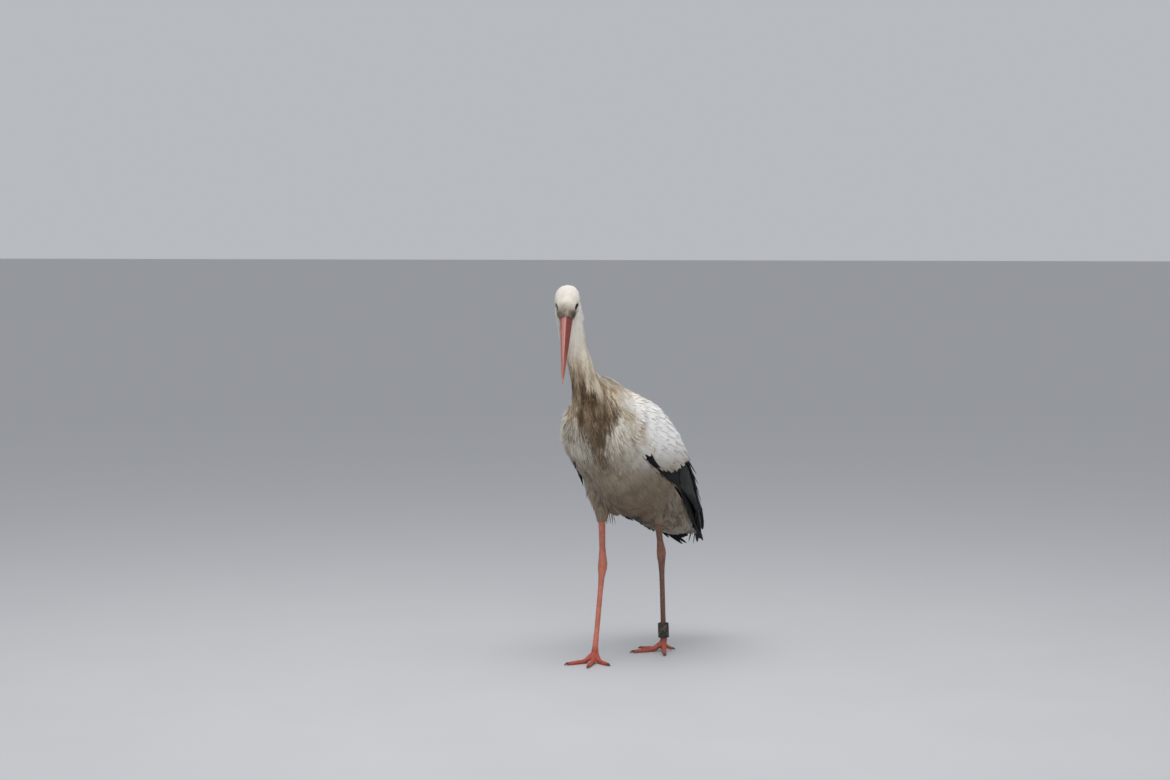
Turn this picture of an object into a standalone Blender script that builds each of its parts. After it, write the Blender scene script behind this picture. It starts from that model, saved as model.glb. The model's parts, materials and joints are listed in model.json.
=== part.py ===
"""A life-size white stork, caught in mid-stride with its neck up and its bill pointing down.

The bird faces -Y, its left side is +X and +Z is up. The floor is at z = 0, where flats under the toes rest.
Trunk, neck and head are made as one smooth form and parted with thin cuts, and so is each leg with its foot.
"""

import math

import bmesh
import bpy
from mathutils import Matrix, Vector

# ---------------------------------------------------------------- driving dimensions, in metres and degrees
CUT = 0.0004  # width of a thin cut, and of the gap round a piece that sits in another
FEATHER_GAP = 0.0016  # gap round the wings and the tail

BODY_CENTRE = Vector((0.0, 0.0, 0.470))
BODY_PITCH = 35.0  # how far the back slopes down towards the tail
TAIL_TIP = 0.366  # along the body axis from the body's centre
WING_START = -0.205
WING_TIP = 0.410
FLIGHT_FEATHER_TOP = 0.455  # the black flight feathers show below this height

EYE_MIDDLE = Vector((-0.003, -0.266, 0.834))  # halfway between the eyes
HEAD_YAW = 24.5  # the head is turned to the bird's left
HEAD_PITCH = 60.0  # the bill points this far below the horizon
EYE_RADIUS = 0.0078
EYE_SPREAD = 0.0205  # from the middle of the head to an eye's centre
BILL_LENGTH = 0.166
BILL_ROOT = 0.030  # from the eyes to where the bill leaves the feathers
BILL_DROP = 0.005  # the bill's axis runs this far below the eyes
MANDIBLE_SIDES = 8
BILL_UPTURN = 0.003  # how far the tip bends up
BILL_HALF_WIDTH = 0.0148
BILL_HALF_DEPTH = 0.0155

TARSUS_RADIUS = 0.0062
RING_HEIGHT = 0.034
RING_INNER_RADIUS = 0.0100
RING_OUTER_RADIUS = 0.0130
TOE_LENGTHS = {"inner": 0.060, "middle": 0.082, "outer": 0.076, "hind": 0.025}
CLAW_LENGTH = 0.011

FORWARD = Vector((0, -1, 0))
UP = Vector((0, 0, 1))

WHITE = (0.80, 0.77, 0.70)
BLACK = (0.012, 0.012, 0.013)
BILL_RED = (0.52, 0.13, 0.085)
LEG_RED = (0.55, 0.15, 0.085)
CLAW_GREY = (0.10, 0.085, 0.075)
RING_GREY = (0.075, 0.075, 0.065)


# ---------------------------------------------------------------- helpers
def clear_scene():
    for obj in list(bpy.data.objects):
        bpy.data.objects.remove(obj)


def between(stations, at, column):
    """Smooth value of one column of a table of stations, whose first column is the place."""
    last = len(stations) - 1
    at = min(max(at, stations[0][0]), stations[last][0])
    i = next(k for k in range(last) if at <= stations[k + 1][0])

    def slope(k):
        low, high = max(k - 1, 0), min(k + 1, last)
        return (stations[high][column] - stations[low][column]) / (stations[high][0] - stations[low][0])

    a, b = stations[i], stations[i + 1]
    width = b[0] - a[0]
    t = (at - a[0]) / width
    return (
        (2 * t**3 - 3 * t**2 + 1) * a[column]
        + (t**3 - 2 * t**2 + t) * width * slope(i)
        + (3 * t**2 - 2 * t**3) * b[column]
        + (t**3 - t**2) * width * slope(i + 1)
    )


def spread(low, high, count):
    return [low + (high - low) * i / (count - 1) for i in range(count)]


def loft(name, rings):
    """A closed skin over rings that hold the same number of points, with a flat face at each end."""
    mesh = bpy.data.meshes.new(name)
    bm = bmesh.new()
    loops = [[bm.verts.new(p) for p in ring] for ring in rings]
    count = len(rings[0])
    for first, second in zip(loops, loops[1:]):
        for i in range(count):
            j = (i + 1) % count
            bm.faces.new((first[i], first[j], second[j], second[i]))
    bm.faces.new(reversed(loops[0]))
    bm.faces.new(loops[-1])
    bmesh.ops.recalc_face_normals(bm, faces=bm.faces)
    bm.to_mesh(mesh)
    bm.free()
    obj = bpy.data.objects.new(name, mesh)
    bpy.context.scene.collection.objects.link(obj)
    return obj


def oval(centre, side, up, half_width, above, below, count=24, squareness=2.0):
    """Points round an oval whose upper and lower halves may differ."""
    points = []
    for i in range(count):
        angle = 2 * math.pi * i / count
        c, s = math.cos(angle), math.sin(angle)
        across = half_width * math.copysign(abs(c) ** (2 / squareness), c)
        rise = (above if s > 0 else below) * math.copysign(abs(s) ** (2 / squareness), s)
        points.append(centre + side * across + up * rise)
    return points


def smooth_path(points, steps):
    """Points along a smooth curve through the given ones."""
    table = [(float(i), *p) for i, p in enumerate(points)]
    return [
        Vector(between(table, at, column) for column in range(1, len(table[0])))
        for at in spread(0, len(points) - 1, steps)
    ]


def tube(name, stations, steps, sides=16, squash=1.0, front=FORWARD):
    """A tapering limb along stations of (x, y, z, radius). squash is its front-to-back over its side-to-side."""
    path = smooth_path(stations, steps)
    rings = []
    for i, at in enumerate(path):
        ahead, behind = path[min(i + 1, steps - 1)].xyz, path[max(i - 1, 0)].xyz
        along = (ahead - behind).normalized()
        side = along.cross(front).normalized()
        rings.append(oval(at.xyz, side, side.cross(along), at[3], at[3] * squash, at[3] * squash, sides))
    return loft(name, rings)


def bake(obj):
    """Gives the object the mesh that its modifiers make."""
    bpy.context.view_layer.update()
    graph = bpy.context.evaluated_depsgraph_get()
    mesh = bpy.data.meshes.new_from_object(obj.evaluated_get(graph))
    obj.modifiers.clear()
    obj.data = mesh


def smooth_union(name, solids, voxel, smoothing, triangles):
    """One smooth closed form from overlapping solids, with about that many triangles."""
    bm = bmesh.new()
    for solid in solids:
        bm.from_mesh(solid.data)
        bpy.data.objects.remove(solid)
    mesh = bpy.data.meshes.new(name)
    bm.to_mesh(mesh)
    bm.free()
    whole = bpy.data.objects.new(name, mesh)
    bpy.context.scene.collection.objects.link(whole)
    remesh = whole.modifiers.new("skin", "REMESH")
    remesh.mode = "VOXEL"
    remesh.voxel_size = voxel
    soften = whole.modifiers.new("soften", "SMOOTH")
    soften.factor = 0.5
    soften.iterations = smoothing
    bake(whole)
    made = sum(len(face.vertices) - 2 for face in whole.data.polygons)
    thin = whole.modifiers.new("thin", "DECIMATE")
    thin.ratio = min(1.0, triangles / made)
    bake(whole)
    return whole


def boolean(obj, cutter, operation="DIFFERENCE"):
    cut = obj.modifiers.new("cut", "BOOLEAN")
    cut.operation = operation
    cut.object = cutter
    bake(obj)


def swollen(obj, by=CUT):
    """A copy of the object that is larger all over, to cut room for it."""
    cutter = bpy.data.objects.new(obj.name + "_room", obj.data.copy())
    bpy.context.scene.collection.objects.link(cutter)
    grow = cutter.modifiers.new("grow", "DISPLACE")
    grow.strength = by
    grow.mid_level = 0.0
    bake(cutter)
    return cutter


def make_room(obj, others, gap=CUT):
    for other in others:
        cutter = swollen(other, gap)
        boolean(obj, cutter)
        bpy.data.objects.remove(cutter)


def dissolve_flat(obj, degrees):
    """Joins neighbouring faces that lie nearly in one plane, as a cut leaves many slivers."""
    flat = obj.modifiers.new("flat", "DECIMATE")
    flat.decimate_type = "DISSOLVE"
    flat.angle_limit = math.radians(degrees)
    bake(obj)


def islands(mesh):
    """The connected bodies of a mesh, each as a set of vertex numbers."""
    bm = bmesh.new()
    bm.from_mesh(mesh)
    unseen, found = set(bm.verts), []
    while unseen:
        front = {unseen.pop()}
        body = set()
        while front:
            body |= front
            front = {e.other_vert(v) for v in front for e in v.link_edges} & unseen
            unseen -= front
        found.append({v.index for v in body})
    bm.free()
    return found


def only(mesh, kept):
    """The mesh with just those vertices."""
    bm = bmesh.new()
    bm.from_mesh(mesh)
    bmesh.ops.delete(bm, geom=[v for v in bm.verts if v.index not in kept], context="VERTS")
    part = bpy.data.meshes.new(mesh.name)
    bm.to_mesh(part)
    bm.free()
    return part


def part_off(whole, name, centre, normal, radius):
    """Parts what lies beyond a thin round cut from the whole, as a new object."""
    bpy.ops.mesh.primitive_cylinder_add(vertices=32, radius=radius, depth=CUT, location=centre)
    disc = bpy.context.object
    disc.rotation_mode = "QUATERNION"
    disc.rotation_quaternion = Vector(normal).to_track_quat("Z", "Y")
    boolean(whole, disc)
    bpy.data.objects.remove(disc)
    bodies = islands(whole.data)
    if len(bodies) < 2:
        raise RuntimeError(f"the cut for {name} does not go right through")

    def beyond(body):
        middle = sum((whole.data.vertices[i].co for i in body), Vector()) / len(body)
        return (middle - Vector(centre)).dot(normal)

    furthest = max(bodies, key=beyond)
    piece = bpy.data.objects.new(name, only(whole.data, furthest))
    bpy.context.scene.collection.objects.link(piece)
    whole.data = only(whole.data, set(range(len(whole.data.vertices))) - furthest)
    return piece


def finish(obj, name, colour, roughness=0.7):
    """Names a piece, shades it smooth and gives it its colour."""
    obj.name = name
    obj.data.name = name
    material = bpy.data.materials.get(name) or bpy.data.materials.new(name)
    material.use_nodes = True
    shader = material.node_tree.nodes["Principled BSDF"]
    shader.inputs["Base Color"].default_value = (*colour, 1.0)
    shader.inputs["Roughness"].default_value = roughness
    shader.inputs["Metallic"].default_value = 0.0
    obj.data.materials.clear()
    obj.data.materials.append(material)
    obj.data.shade_smooth()
    obj.data.set_sharp_from_angle(angle=math.radians(50))
    return obj


# ---------------------------------------------------------------- trunk, in a frame of its own along the back
BODY_AXIS = Vector((0, math.cos(math.radians(BODY_PITCH)), -math.sin(math.radians(BODY_PITCH))))
BODY_UP = Vector((0, math.sin(math.radians(BODY_PITCH)), math.cos(math.radians(BODY_PITCH))))
LEFT = Vector((1, 0, 0))


def on_body(along, across, rise):
    """A place given along the back towards the tail, across to the bird's left, and towards its back."""
    return BODY_CENTRE + BODY_AXIS * along + LEFT * across + BODY_UP * rise


# along, half width, height of the widest place, back, belly
TRUNK = (
    (-0.222, 0.016, -0.004, 0.014, -0.026),
    (-0.207, 0.048, -0.002, 0.052, -0.060),
    (-0.175, 0.078, -0.002, 0.089, -0.086),
    (-0.120, 0.097, 0.002, 0.116, -0.103),
    (-0.050, 0.105, 0.004, 0.128, -0.114),
    (0.020, 0.106, 0.004, 0.131, -0.123),
    (0.080, 0.101, 0.006, 0.127, -0.120),
    (0.140, 0.090, 0.008, 0.112, -0.100),
    (0.200, 0.075, 0.006, 0.088, -0.072),
    (0.255, 0.060, 0.002, 0.058, -0.048),
    (0.300, 0.044, -0.002, 0.030, -0.032),
    (0.325, 0.022, -0.004, 0.008, -0.020),
)


def trunk():
    rings = []
    for along in spread(TRUNK[0][0], TRUNK[-1][0], 30):
        width, middle, back, belly = (between(TRUNK, along, column) for column in range(1, 5))
        centre = on_body(along, 0, middle)
        rings.append(oval(centre, LEFT, BODY_UP, width, back - middle, middle - belly, 32, 2.2))
    return loft("trunk_form", rings)


# along, half width, height of the widest place, thickness above, thickness below
RUMP_AND_TAIL = (
    (0.250, 0.034, -0.006, 0.010, 0.012),
    (0.300, 0.041, -0.003, 0.006, 0.008),
    (TAIL_TIP - 0.022, 0.047, 0.000, 0.0030, 0.0036),
    (TAIL_TIP, 0.043, 0.001, 0.0013, 0.0015),
)
TAIL_FEATHERS = 12
TAIL_NOTCH = 0.006


def tail():
    """The fan of the tail: flat, with a rounded end that is notched between the feathers."""
    rings = []
    for along in spread(RUMP_AND_TAIL[0][0], TAIL_TIP, 8):
        width, middle, above, below = (between(RUMP_AND_TAIL, along, column) for column in range(1, 5))
        ring = oval(on_body(along, 0, middle), LEFT, BODY_UP, width, above, below, 26, 2.6)
        share = max(0.0, (along - 0.32) / (TAIL_TIP - 0.32))
        for i, point in enumerate(ring):
            feather = abs(math.sin(math.pi * TAIL_FEATHERS / 2 * (point.x / width + 1)))
            rounding = 0.016 * (point.x / width) ** 2
            ring[i] = point - BODY_AXIS * share * (rounding + TAIL_NOTCH * (1 - feather))
        rings.append(ring)
    return loft("tail", rings)


# ---------------------------------------------------------------- folded wings
# along, half width, back, belly, lower edge and upper edge as angles above the side
WING = (
    (WING_START, 0.062, 0.060, -0.060, -12, 32),
    (-0.180, 0.085, 0.090, -0.085, -20, 46),
    (-0.120, 0.107, 0.121, -0.106, -23, 58),
    (-0.050, 0.117, 0.142, -0.114, -24, 68),
    (0.030, 0.120, 0.149, -0.118, -20, 78),
    (0.100, 0.115, 0.142, -0.108, -14, 84),
    (0.160, 0.105, 0.127, -0.090, -10, 86),
    (0.220, 0.093, 0.112, -0.072, -6, 87),
    (0.275, 0.079, 0.091, -0.056, -4, 87),
    (0.320, 0.064, 0.068, -0.042, -3, 86),
    (0.355, 0.050, 0.044, -0.030, -3, 84),
    (WING_TIP, 0.032, 0.020, -0.020, -4, 78),
)
WING_DROOP = {"left": 0, "right": 14}  # degrees that a wing's lower edge hangs below its table
WING_THICKNESS = 0.014
WING_EDGE = 0.0022
WING_MIDDLE = 0.006  # the height of a wing's widest place
FEATHER_STEPS = 5  # tips that show along the wing's end
FEATHER_NOTCH = 0.010


def wing_outline(along, angle, inwards):
    """A place on the wing's outer face, or that far inside it, at an angle above the bird's side."""
    width, back, belly = (between(WING, along, column) for column in range(1, 4))
    a = math.radians(angle)
    rise = (back - WING_MIDDLE if a > 0 else WING_MIDDLE - belly) - inwards
    return on_body(along, (width - inwards) * math.cos(a), WING_MIDDLE + rise * math.sin(a))


def wing(name, side, droop):
    """A curved plate that hugs the trunk, thick along its middle and thin at its edges and tip."""
    across = 2 * FEATHER_STEPS + 1
    rings = []
    for step in spread(0, 1, 14):
        outer, inner = [], []
        for share in spread(0, 1, across):
            notch = FEATHER_NOTCH * (1 - abs(math.sin(math.pi * FEATHER_STEPS * share)))
            end = WING_TIP - notch
            along = WING_START + (end - WING_START) * step
            low, high = between(WING, along, 4) - droop * math.sin(math.pi / 2 * step), between(WING, along, 5)
            angle = low + (high - low) * share
            fullness = math.sin(math.pi * (0.06 + 0.88 * share)) * math.sin(math.pi * (0.08 + 0.87 * step)) ** 0.6
            thickness = WING_EDGE + (WING_THICKNESS - WING_EDGE) * fullness
            outer.append(wing_outline(along, angle, 0.0))
            inner.append(wing_outline(along, angle, thickness))
        ring = outer + inner[::-1]
        rings.append([Vector((point.x * side, point.y, point.z)) for point in ring])
    return loft(name, rings)


# ---------------------------------------------------------------- neck and the plume that hangs from it
# x, y, z, radius
NECK = (
    (0.000, -0.050, 0.540, 0.074),
    (0.002, -0.114, 0.580, 0.068),
    (0.001, -0.154, 0.618, 0.047),
    (-0.003, -0.186, 0.668, 0.0315),
    (-0.010, -0.207, 0.726, 0.0268),
    (-0.016, -0.217, 0.785, 0.0255),
    (-0.018, -0.226, 0.826, 0.0250),
    (-0.014, -0.240, 0.845, 0.0215),
)
PLUME = (
    (0.002, -0.178, 0.640, 0.032),
    (0.003, -0.189, 0.590, 0.041),
    (0.003, -0.184, 0.535, 0.038),
    (0.007, -0.162, 0.480, 0.024),
    (0.009, -0.136, 0.445, 0.010),
)


def neck():
    return tube("neck_form", NECK, 32, sides=20, squash=1.04)


def plume():
    """Long feathers of the foreneck, hanging as a wedge over the breast."""
    return tube("plume_form", PLUME, 18, sides=16, squash=0.62)


# ---------------------------------------------------------------- head, in a frame of its own along the bill
def head_axes():
    yaw, pitch = math.radians(HEAD_YAW), math.radians(HEAD_PITCH)
    level = Vector((math.sin(yaw), -math.cos(yaw), 0))
    ahead = level * math.cos(pitch) - UP * math.sin(pitch)
    crown = level * math.sin(pitch) + UP * math.cos(pitch)
    return ahead, crown, crown.cross(ahead)


HEAD_AHEAD, HEAD_CROWN, HEAD_SIDE = head_axes()


def on_head(ahead, across, rise):
    """A place given along the bill's direction, across to the bird's left, and towards the crown."""
    return EYE_MIDDLE + HEAD_AHEAD * ahead + HEAD_SIDE * across + HEAD_CROWN * rise


# ahead of the eyes, half width, height of the widest place, crown, chin
HEAD = (
    (-0.0475, 0.0050, 0.001, 0.006, -0.004),
    (-0.0445, 0.0150, 0.001, 0.0130, -0.012),
    (-0.0340, 0.0235, 0.000, 0.0200, -0.021),
    (-0.0180, 0.0278, -0.001, 0.0236, -0.0265),
    (0.0000, 0.0272, -0.002, 0.0215, -0.0275),
    (0.0120, 0.0240, -0.003, 0.0182, -0.0255),
    (0.0230, 0.0195, -0.004, 0.0142, -0.0225),
    (0.0340, 0.0160, -0.005, 0.0116, -0.0195),
    (0.0400, 0.0120, -0.005, 0.0080, -0.0170),
)


def head():
    rings = []
    for ahead in spread(HEAD[0][0], HEAD[-1][0], 20):
        width, middle, crown, chin = (between(HEAD, ahead, column) for column in range(1, 5))
        centre = on_head(ahead, 0, middle)
        rings.append(oval(centre, HEAD_SIDE, HEAD_CROWN, width, crown - middle, middle - chin, 24, 2.1))
    return loft("head_form", rings)


def mandible(name, upper):
    """One half of the bill: flat where it meets the other, rounded outside and tapering to the tip."""
    rings = []
    for t in spread(0, 1, 9):
        taper = (1 - t) ** 0.92
        width = 0.0011 + (BILL_HALF_WIDTH - 0.0011) * taper
        depth = 0.0013 + (BILL_HALF_DEPTH - 0.0013) * taper
        centre = on_head(BILL_ROOT + BILL_LENGTH * t, 0, BILL_UPTURN * t**2 - BILL_DROP)
        ring = []
        for i in range(MANDIBLE_SIDES + 1):
            angle = math.pi * i / MANDIBLE_SIDES
            across = width * math.copysign(abs(math.cos(angle)) ** 0.9, math.cos(angle))
            rise = CUT / 2 + depth * (math.sin(angle) ** 1.15 if 0 < i < MANDIBLE_SIDES else 0.0)
            ring.append(centre + HEAD_SIDE * across + HEAD_CROWN * (rise if upper else -rise))
        rings.append(ring)
    return loft(name, rings)


def eye(name, side):
    bpy.ops.mesh.primitive_uv_sphere_add(segments=12, ring_count=7, radius=EYE_RADIUS)
    ball = bpy.context.object
    ball.name = name
    ball.data.transform(Matrix.Translation(on_head(0.002, side * EYE_SPREAD, 0.001)))
    return ball


# ---------------------------------------------------------------- legs
# x, y, z of the knee inside the thigh, feather line, ankle and foot, and each toe's heading
LEGS = {
    "left": {
        "thigh": ((0.058, 0.020, 0.430, 0.050), (0.055, 0.048, 0.375, 0.032), (0.049, 0.071, 0.332, 0.0150)),
        "tibia_top": (0.050, 0.062, 0.352),
        "ankle": (0.045, 0.0975, 0.2415),
        "foot": (0.0425, 0.1154, 0.025),
        "headings": {"inner": -86, "middle": -36, "outer": 30, "hind": 151},
    },
    "right": {
        "thigh": ((-0.058, -0.010, 0.430, 0.050), (-0.052, -0.024, 0.385, 0.034), (-0.044, -0.036, 0.339, 0.0155)),
        "tibia_top": (-0.045, -0.033, 0.360),
        "ankle": (-0.032, -0.050, 0.2225),
        "foot": (-0.0165, -0.114, 0.025),
        "headings": {"inner": 61, "middle": 18, "outer": -28, "hind": 196},
    },
}


def thigh(leg, side):
    return tube(f"thigh_{side}_form", leg["thigh"], 12, sides=18)


def shank(leg, side):
    """Tibia, ankle and tarsus as one limb that swells at the ankle and above the foot."""
    top, ankle, foot = Vector(leg["tibia_top"]), Vector(leg["ankle"]), Vector(leg["foot"])
    stations = [(*top, 0.0092)]
    stations += [(*top.lerp(ankle, t), r) for t, r in ((0.45, 0.0078), (0.72, 0.0074), (0.90, 0.0094))]
    stations += [(*ankle, 0.0112)]
    stations += [(*ankle.lerp(foot, t), r) for t, r in ((0.07, 0.0102), (0.15, 0.0076), (0.30, 0.0062))]
    stations += [(*ankle.lerp(foot, t), TARSUS_RADIUS) for t in (0.60, 0.82)]
    stations += [(*ankle.lerp(foot, 0.94), 0.0072), (*foot, 0.0088)]
    return tube(f"shank_{side}_form", stations, 44, sides=14, squash=1.12)


def heading(degrees):
    """A level direction, turned from straight ahead towards the bird's left."""
    a = math.radians(degrees)
    return Vector((math.sin(a), -math.cos(a), 0))


def toe(leg, side, which):
    foot, ahead = Vector(leg["foot"]), heading(leg["headings"][which])
    length = TOE_LENGTHS[which]
    if which == "hind":
        bend = ((0.0, 0.016, 0.0058), (0.35, 0.010, 0.0050), (0.75, 0.0060, 0.0044), (1.0, 0.0040, 0.0036))
    else:
        bend = ((0.0, 0.021, 0.0078), (0.17, 0.0145, 0.0066), (0.33, 0.0062, 0.0062), (0.50, 0.0042, 0.0052))
        bend += ((0.62, 0.0042, 0.0056), (0.80, 0.0037, 0.0047), (0.90, 0.0037, 0.0049), (1.0, 0.0036, 0.0037))
    stations = []
    for share, height, radius in bend:
        at = foot + ahead * length * share
        stations.append((at.x, at.y, height, radius))
    return tube(f"toe_{side}_{which}_form", stations, 22, sides=12, front=UP)


def claw(leg, side, which):
    """A short blunt claw that curves down to just above the floor."""
    foot, ahead = Vector(leg["foot"]), heading(leg["headings"][which])
    start = foot + ahead * (TOE_LENGTHS[which] - 0.003)
    stations = []
    for share, height, radius in ((0.0, 0.0050, 0.0030), (0.4, 0.0046, 0.0027), (0.75, 0.0030, 0.0017), (1.0, 0.0016, 0.0008)):
        at = start + ahead * CLAW_LENGTH * share
        stations.append((at.x, at.y, height, radius))
    return tube(f"claw_{side}_{which}", stations, 5, sides=6, front=UP)


def web(leg, side):
    """The small webs between the front toes and the ball of the foot."""
    foot = Vector(leg["foot"])
    headings = leg["headings"]
    middle = heading(headings["middle"])
    solids = []
    for which in ("inner", "outer"):
        turn = (headings[which] + headings["middle"]) / 2
        at = foot + heading(turn) * 0.013
        points = [(foot.x, foot.y, 0.018, 0.006), (at.x, at.y, 0.0095, 0.0058)]
        solids.append(tube(f"web_{side}_{which}", points, 4, sides=10, front=UP))
    bpy.ops.mesh.primitive_uv_sphere_add(segments=16, ring_count=10, radius=0.0098)
    ball = bpy.context.object
    ball.data.transform(Matrix.Translation((foot.x + middle.x * 0.002, foot.y + middle.y * 0.002, 0.0185)))
    return [*solids, ball]


def floor_box():
    bpy.ops.mesh.primitive_cube_add(size=1.0, location=(0, 0, -0.5))
    return bpy.context.object


def leg_pieces(leg, side):
    """The bare leg and foot as one form, flat where it meets the floor, then parted at its joints."""
    toes = [toe(leg, side, which) for which in TOE_LENGTHS]
    limb = smooth_union(f"limb_{side}", [shank(leg, side), *toes, *web(leg, side)], 0.0014, 3, 680)
    floor = floor_box()
    boolean(limb, floor)
    bpy.data.objects.remove(floor)
    claws = [claw(leg, side, which) for which in TOE_LENGTHS]
    make_room(limb, claws)
    foot, ankle = Vector(leg["foot"]), Vector(leg["ankle"])
    pieces = []
    for which, length in TOE_LENGTHS.items():
        ahead = heading(leg["headings"][which])
        tilt = (ahead - UP * 0.35).normalized()
        reach = 0.011 if which == "hind" else 0.019
        height = 0.0105 if which == "hind" else 0.0100
        at = Vector((foot.x, foot.y, height)) + ahead * reach
        pieces.append(part_off(limb, f"toe_{side}_{which}", at, tilt, 0.0125))
    shin = (ankle - foot).normalized()
    tarsus = part_off(limb, f"shin_{side}", foot.lerp(ankle, 0.045), shin, 0.016)
    tibia = part_off(tarsus, f"tibia_{side}", ankle, shin, 0.02)
    finish(limb, f"foot_{side}", LEG_RED, 0.55)
    finish(tarsus, f"tarsus_{side}", LEG_RED, 0.55)
    for piece in (tibia, *pieces):
        finish(piece, piece.name, LEG_RED, 0.55)
    for piece in claws:
        finish(piece, piece.name, CLAW_GREY, 0.4)
    return [limb, tarsus, tibia, *pieces, *claws]


def leg_ring(leg):
    """A loose plastic marking ring that has slid down onto the foot."""
    foot, ankle = Vector(leg["foot"]), Vector(leg["ankle"])
    along = (ankle - foot).normalized()
    bpy.ops.mesh.primitive_cylinder_add(vertices=20, radius=RING_OUTER_RADIUS, depth=RING_HEIGHT)
    ring = bpy.context.object
    bpy.ops.mesh.primitive_cylinder_add(vertices=20, radius=RING_INNER_RADIUS, depth=RING_HEIGHT * 1.5)
    hole = bpy.context.object
    boolean(ring, hole)
    bpy.data.objects.remove(hole)
    turn = along.to_track_quat("Z", "Y").to_matrix().to_4x4()
    ring.data.transform(Matrix.Translation(foot + along * (0.0085 + RING_HEIGHT / 2)) @ turn)
    return ring


# ---------------------------------------------------------------- putting it together
NECK_CUTS = (  # name of what lies beyond the cut, centre, direction, radius
    ("head", (-0.0205, -0.2275, 0.8200), (0.08, -0.72, 0.69), 0.046),
    ("neck_upper", (-0.0130, -0.2115, 0.7420), (-0.06, -0.18, 0.98), 0.050),
    ("neck_lower", (0.0000, -0.1680, 0.6120), (-0.03, -0.46, 0.89), 0.096),
)


def carve_out(whole, name, region):
    """Makes a piece of what lies inside the region, and clears the region from the whole."""
    piece = bpy.data.objects.new(name, whole.data.copy())
    bpy.context.scene.collection.objects.link(piece)
    boolean(piece, region, "INTERSECT")
    make_room(whole, [region])
    bpy.data.objects.remove(region)
    return piece


def thigh_region(leg, side):
    """Room for a feathered thigh, a little wider than the thigh itself and open below."""
    top, middle, end = (Vector(station) for station in leg["thigh"])
    beyond = end + (end - middle) * 0.35
    wider = [(*station.xyz, station.w + 0.004) for station in (top, middle, end, beyond)]
    return tube(f"thigh_{side}_region", wider, 6, sides=12)


def head_to_trunk(wings, tail_fan, tibias):
    """Head, neck, plume, trunk and thighs as one form, with room for what sits in it, then parted."""
    forms = [trunk(), neck(), plume(), head()]
    forms += [thigh(leg, side) for side, leg in LEGS.items()]
    whole = smooth_union("whole", forms, 0.0042, 5, 1650)
    bill = [mandible("bill_upper", True), mandible("bill_lower", False)]
    eyes = [eye("eye_left", 1), eye("eye_right", -1)]
    make_room(whole, [*wings, tail_fan], FEATHER_GAP)
    dissolve_flat(whole, 2.5)
    make_room(whole, [*bill, *eyes, *tibias])
    flesh = [part_off(whole, name, *cut) for name, *cut in NECK_CUTS]
    flesh += [carve_out(whole, f"thigh_{side}", thigh_region(leg, side)) for side, leg in LEGS.items()]
    for piece in flesh:
        finish(piece, piece.name, WHITE)
    finish(whole, "trunk", WHITE)
    for piece in bill:
        finish(piece, piece.name, BILL_RED, 0.4)
    for piece in eyes:
        finish(piece, piece.name, BLACK, 0.1)


def folded_wings():
    """Both wings, each parted at the line between its white coverts and its black flight feathers."""
    pieces = []
    for side, sign in (("left", 1), ("right", -1)):
        whole = wing(f"wing_{side}_flight", sign, WING_DROOP[side])
        coverts = part_off(whole, f"wing_{side}_coverts", (0, 0, FLIGHT_FEATHER_TOP), UP, 0.6)
        pieces += [finish(whole, whole.name, BLACK, 0.5), finish(coverts, coverts.name, WHITE)]
    return pieces


def stand_on_floor_centre():
    """Moves every piece so that the middle of the whole bird's footprint is the origin."""
    corners = [v.co for obj in bpy.data.objects for v in obj.data.vertices]
    low = Vector(min(c[i] for c in corners) for i in range(3))
    high = Vector(max(c[i] for c in corners) for i in range(3))
    shift = Vector((-(low.x + high.x) / 2, -(low.y + high.y) / 2, -low.z))
    for obj in bpy.data.objects:
        obj.data.transform(Matrix.Translation(shift))


def build():
    clear_scene()
    wings = folded_wings()
    tail_fan = finish(tail(), "tail", WHITE)
    legs = {side: leg_pieces(leg, side) for side, leg in LEGS.items()}
    tibias = [piece for pieces in legs.values() for piece in pieces if piece.name.startswith("tibia")]
    finish(leg_ring(LEGS["left"]), "leg_ring", RING_GREY, 0.6)
    head_to_trunk(wings, tail_fan, tibias)
    stand_on_floor_centre()


build()
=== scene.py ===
"""A white stork, life size, in mid-stride with its bill held down and its wings folded.

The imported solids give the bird's true form. One skin takes the place of the flesh and lies under it by the
depth of the coat, and the feathers are laid over the skin zone by zone, in the order in which a bird is
clothed: body feathers, coverts, flight feathers and tail. Bill, eyes, legs, claws and ring come after.
"""
import json
import math
import random

import bmesh
import bpy
import numpy as np
from mathutils import Matrix, Vector
from mathutils.bvhtree import BVHTree
from mathutils.noise import voronoi

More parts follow.
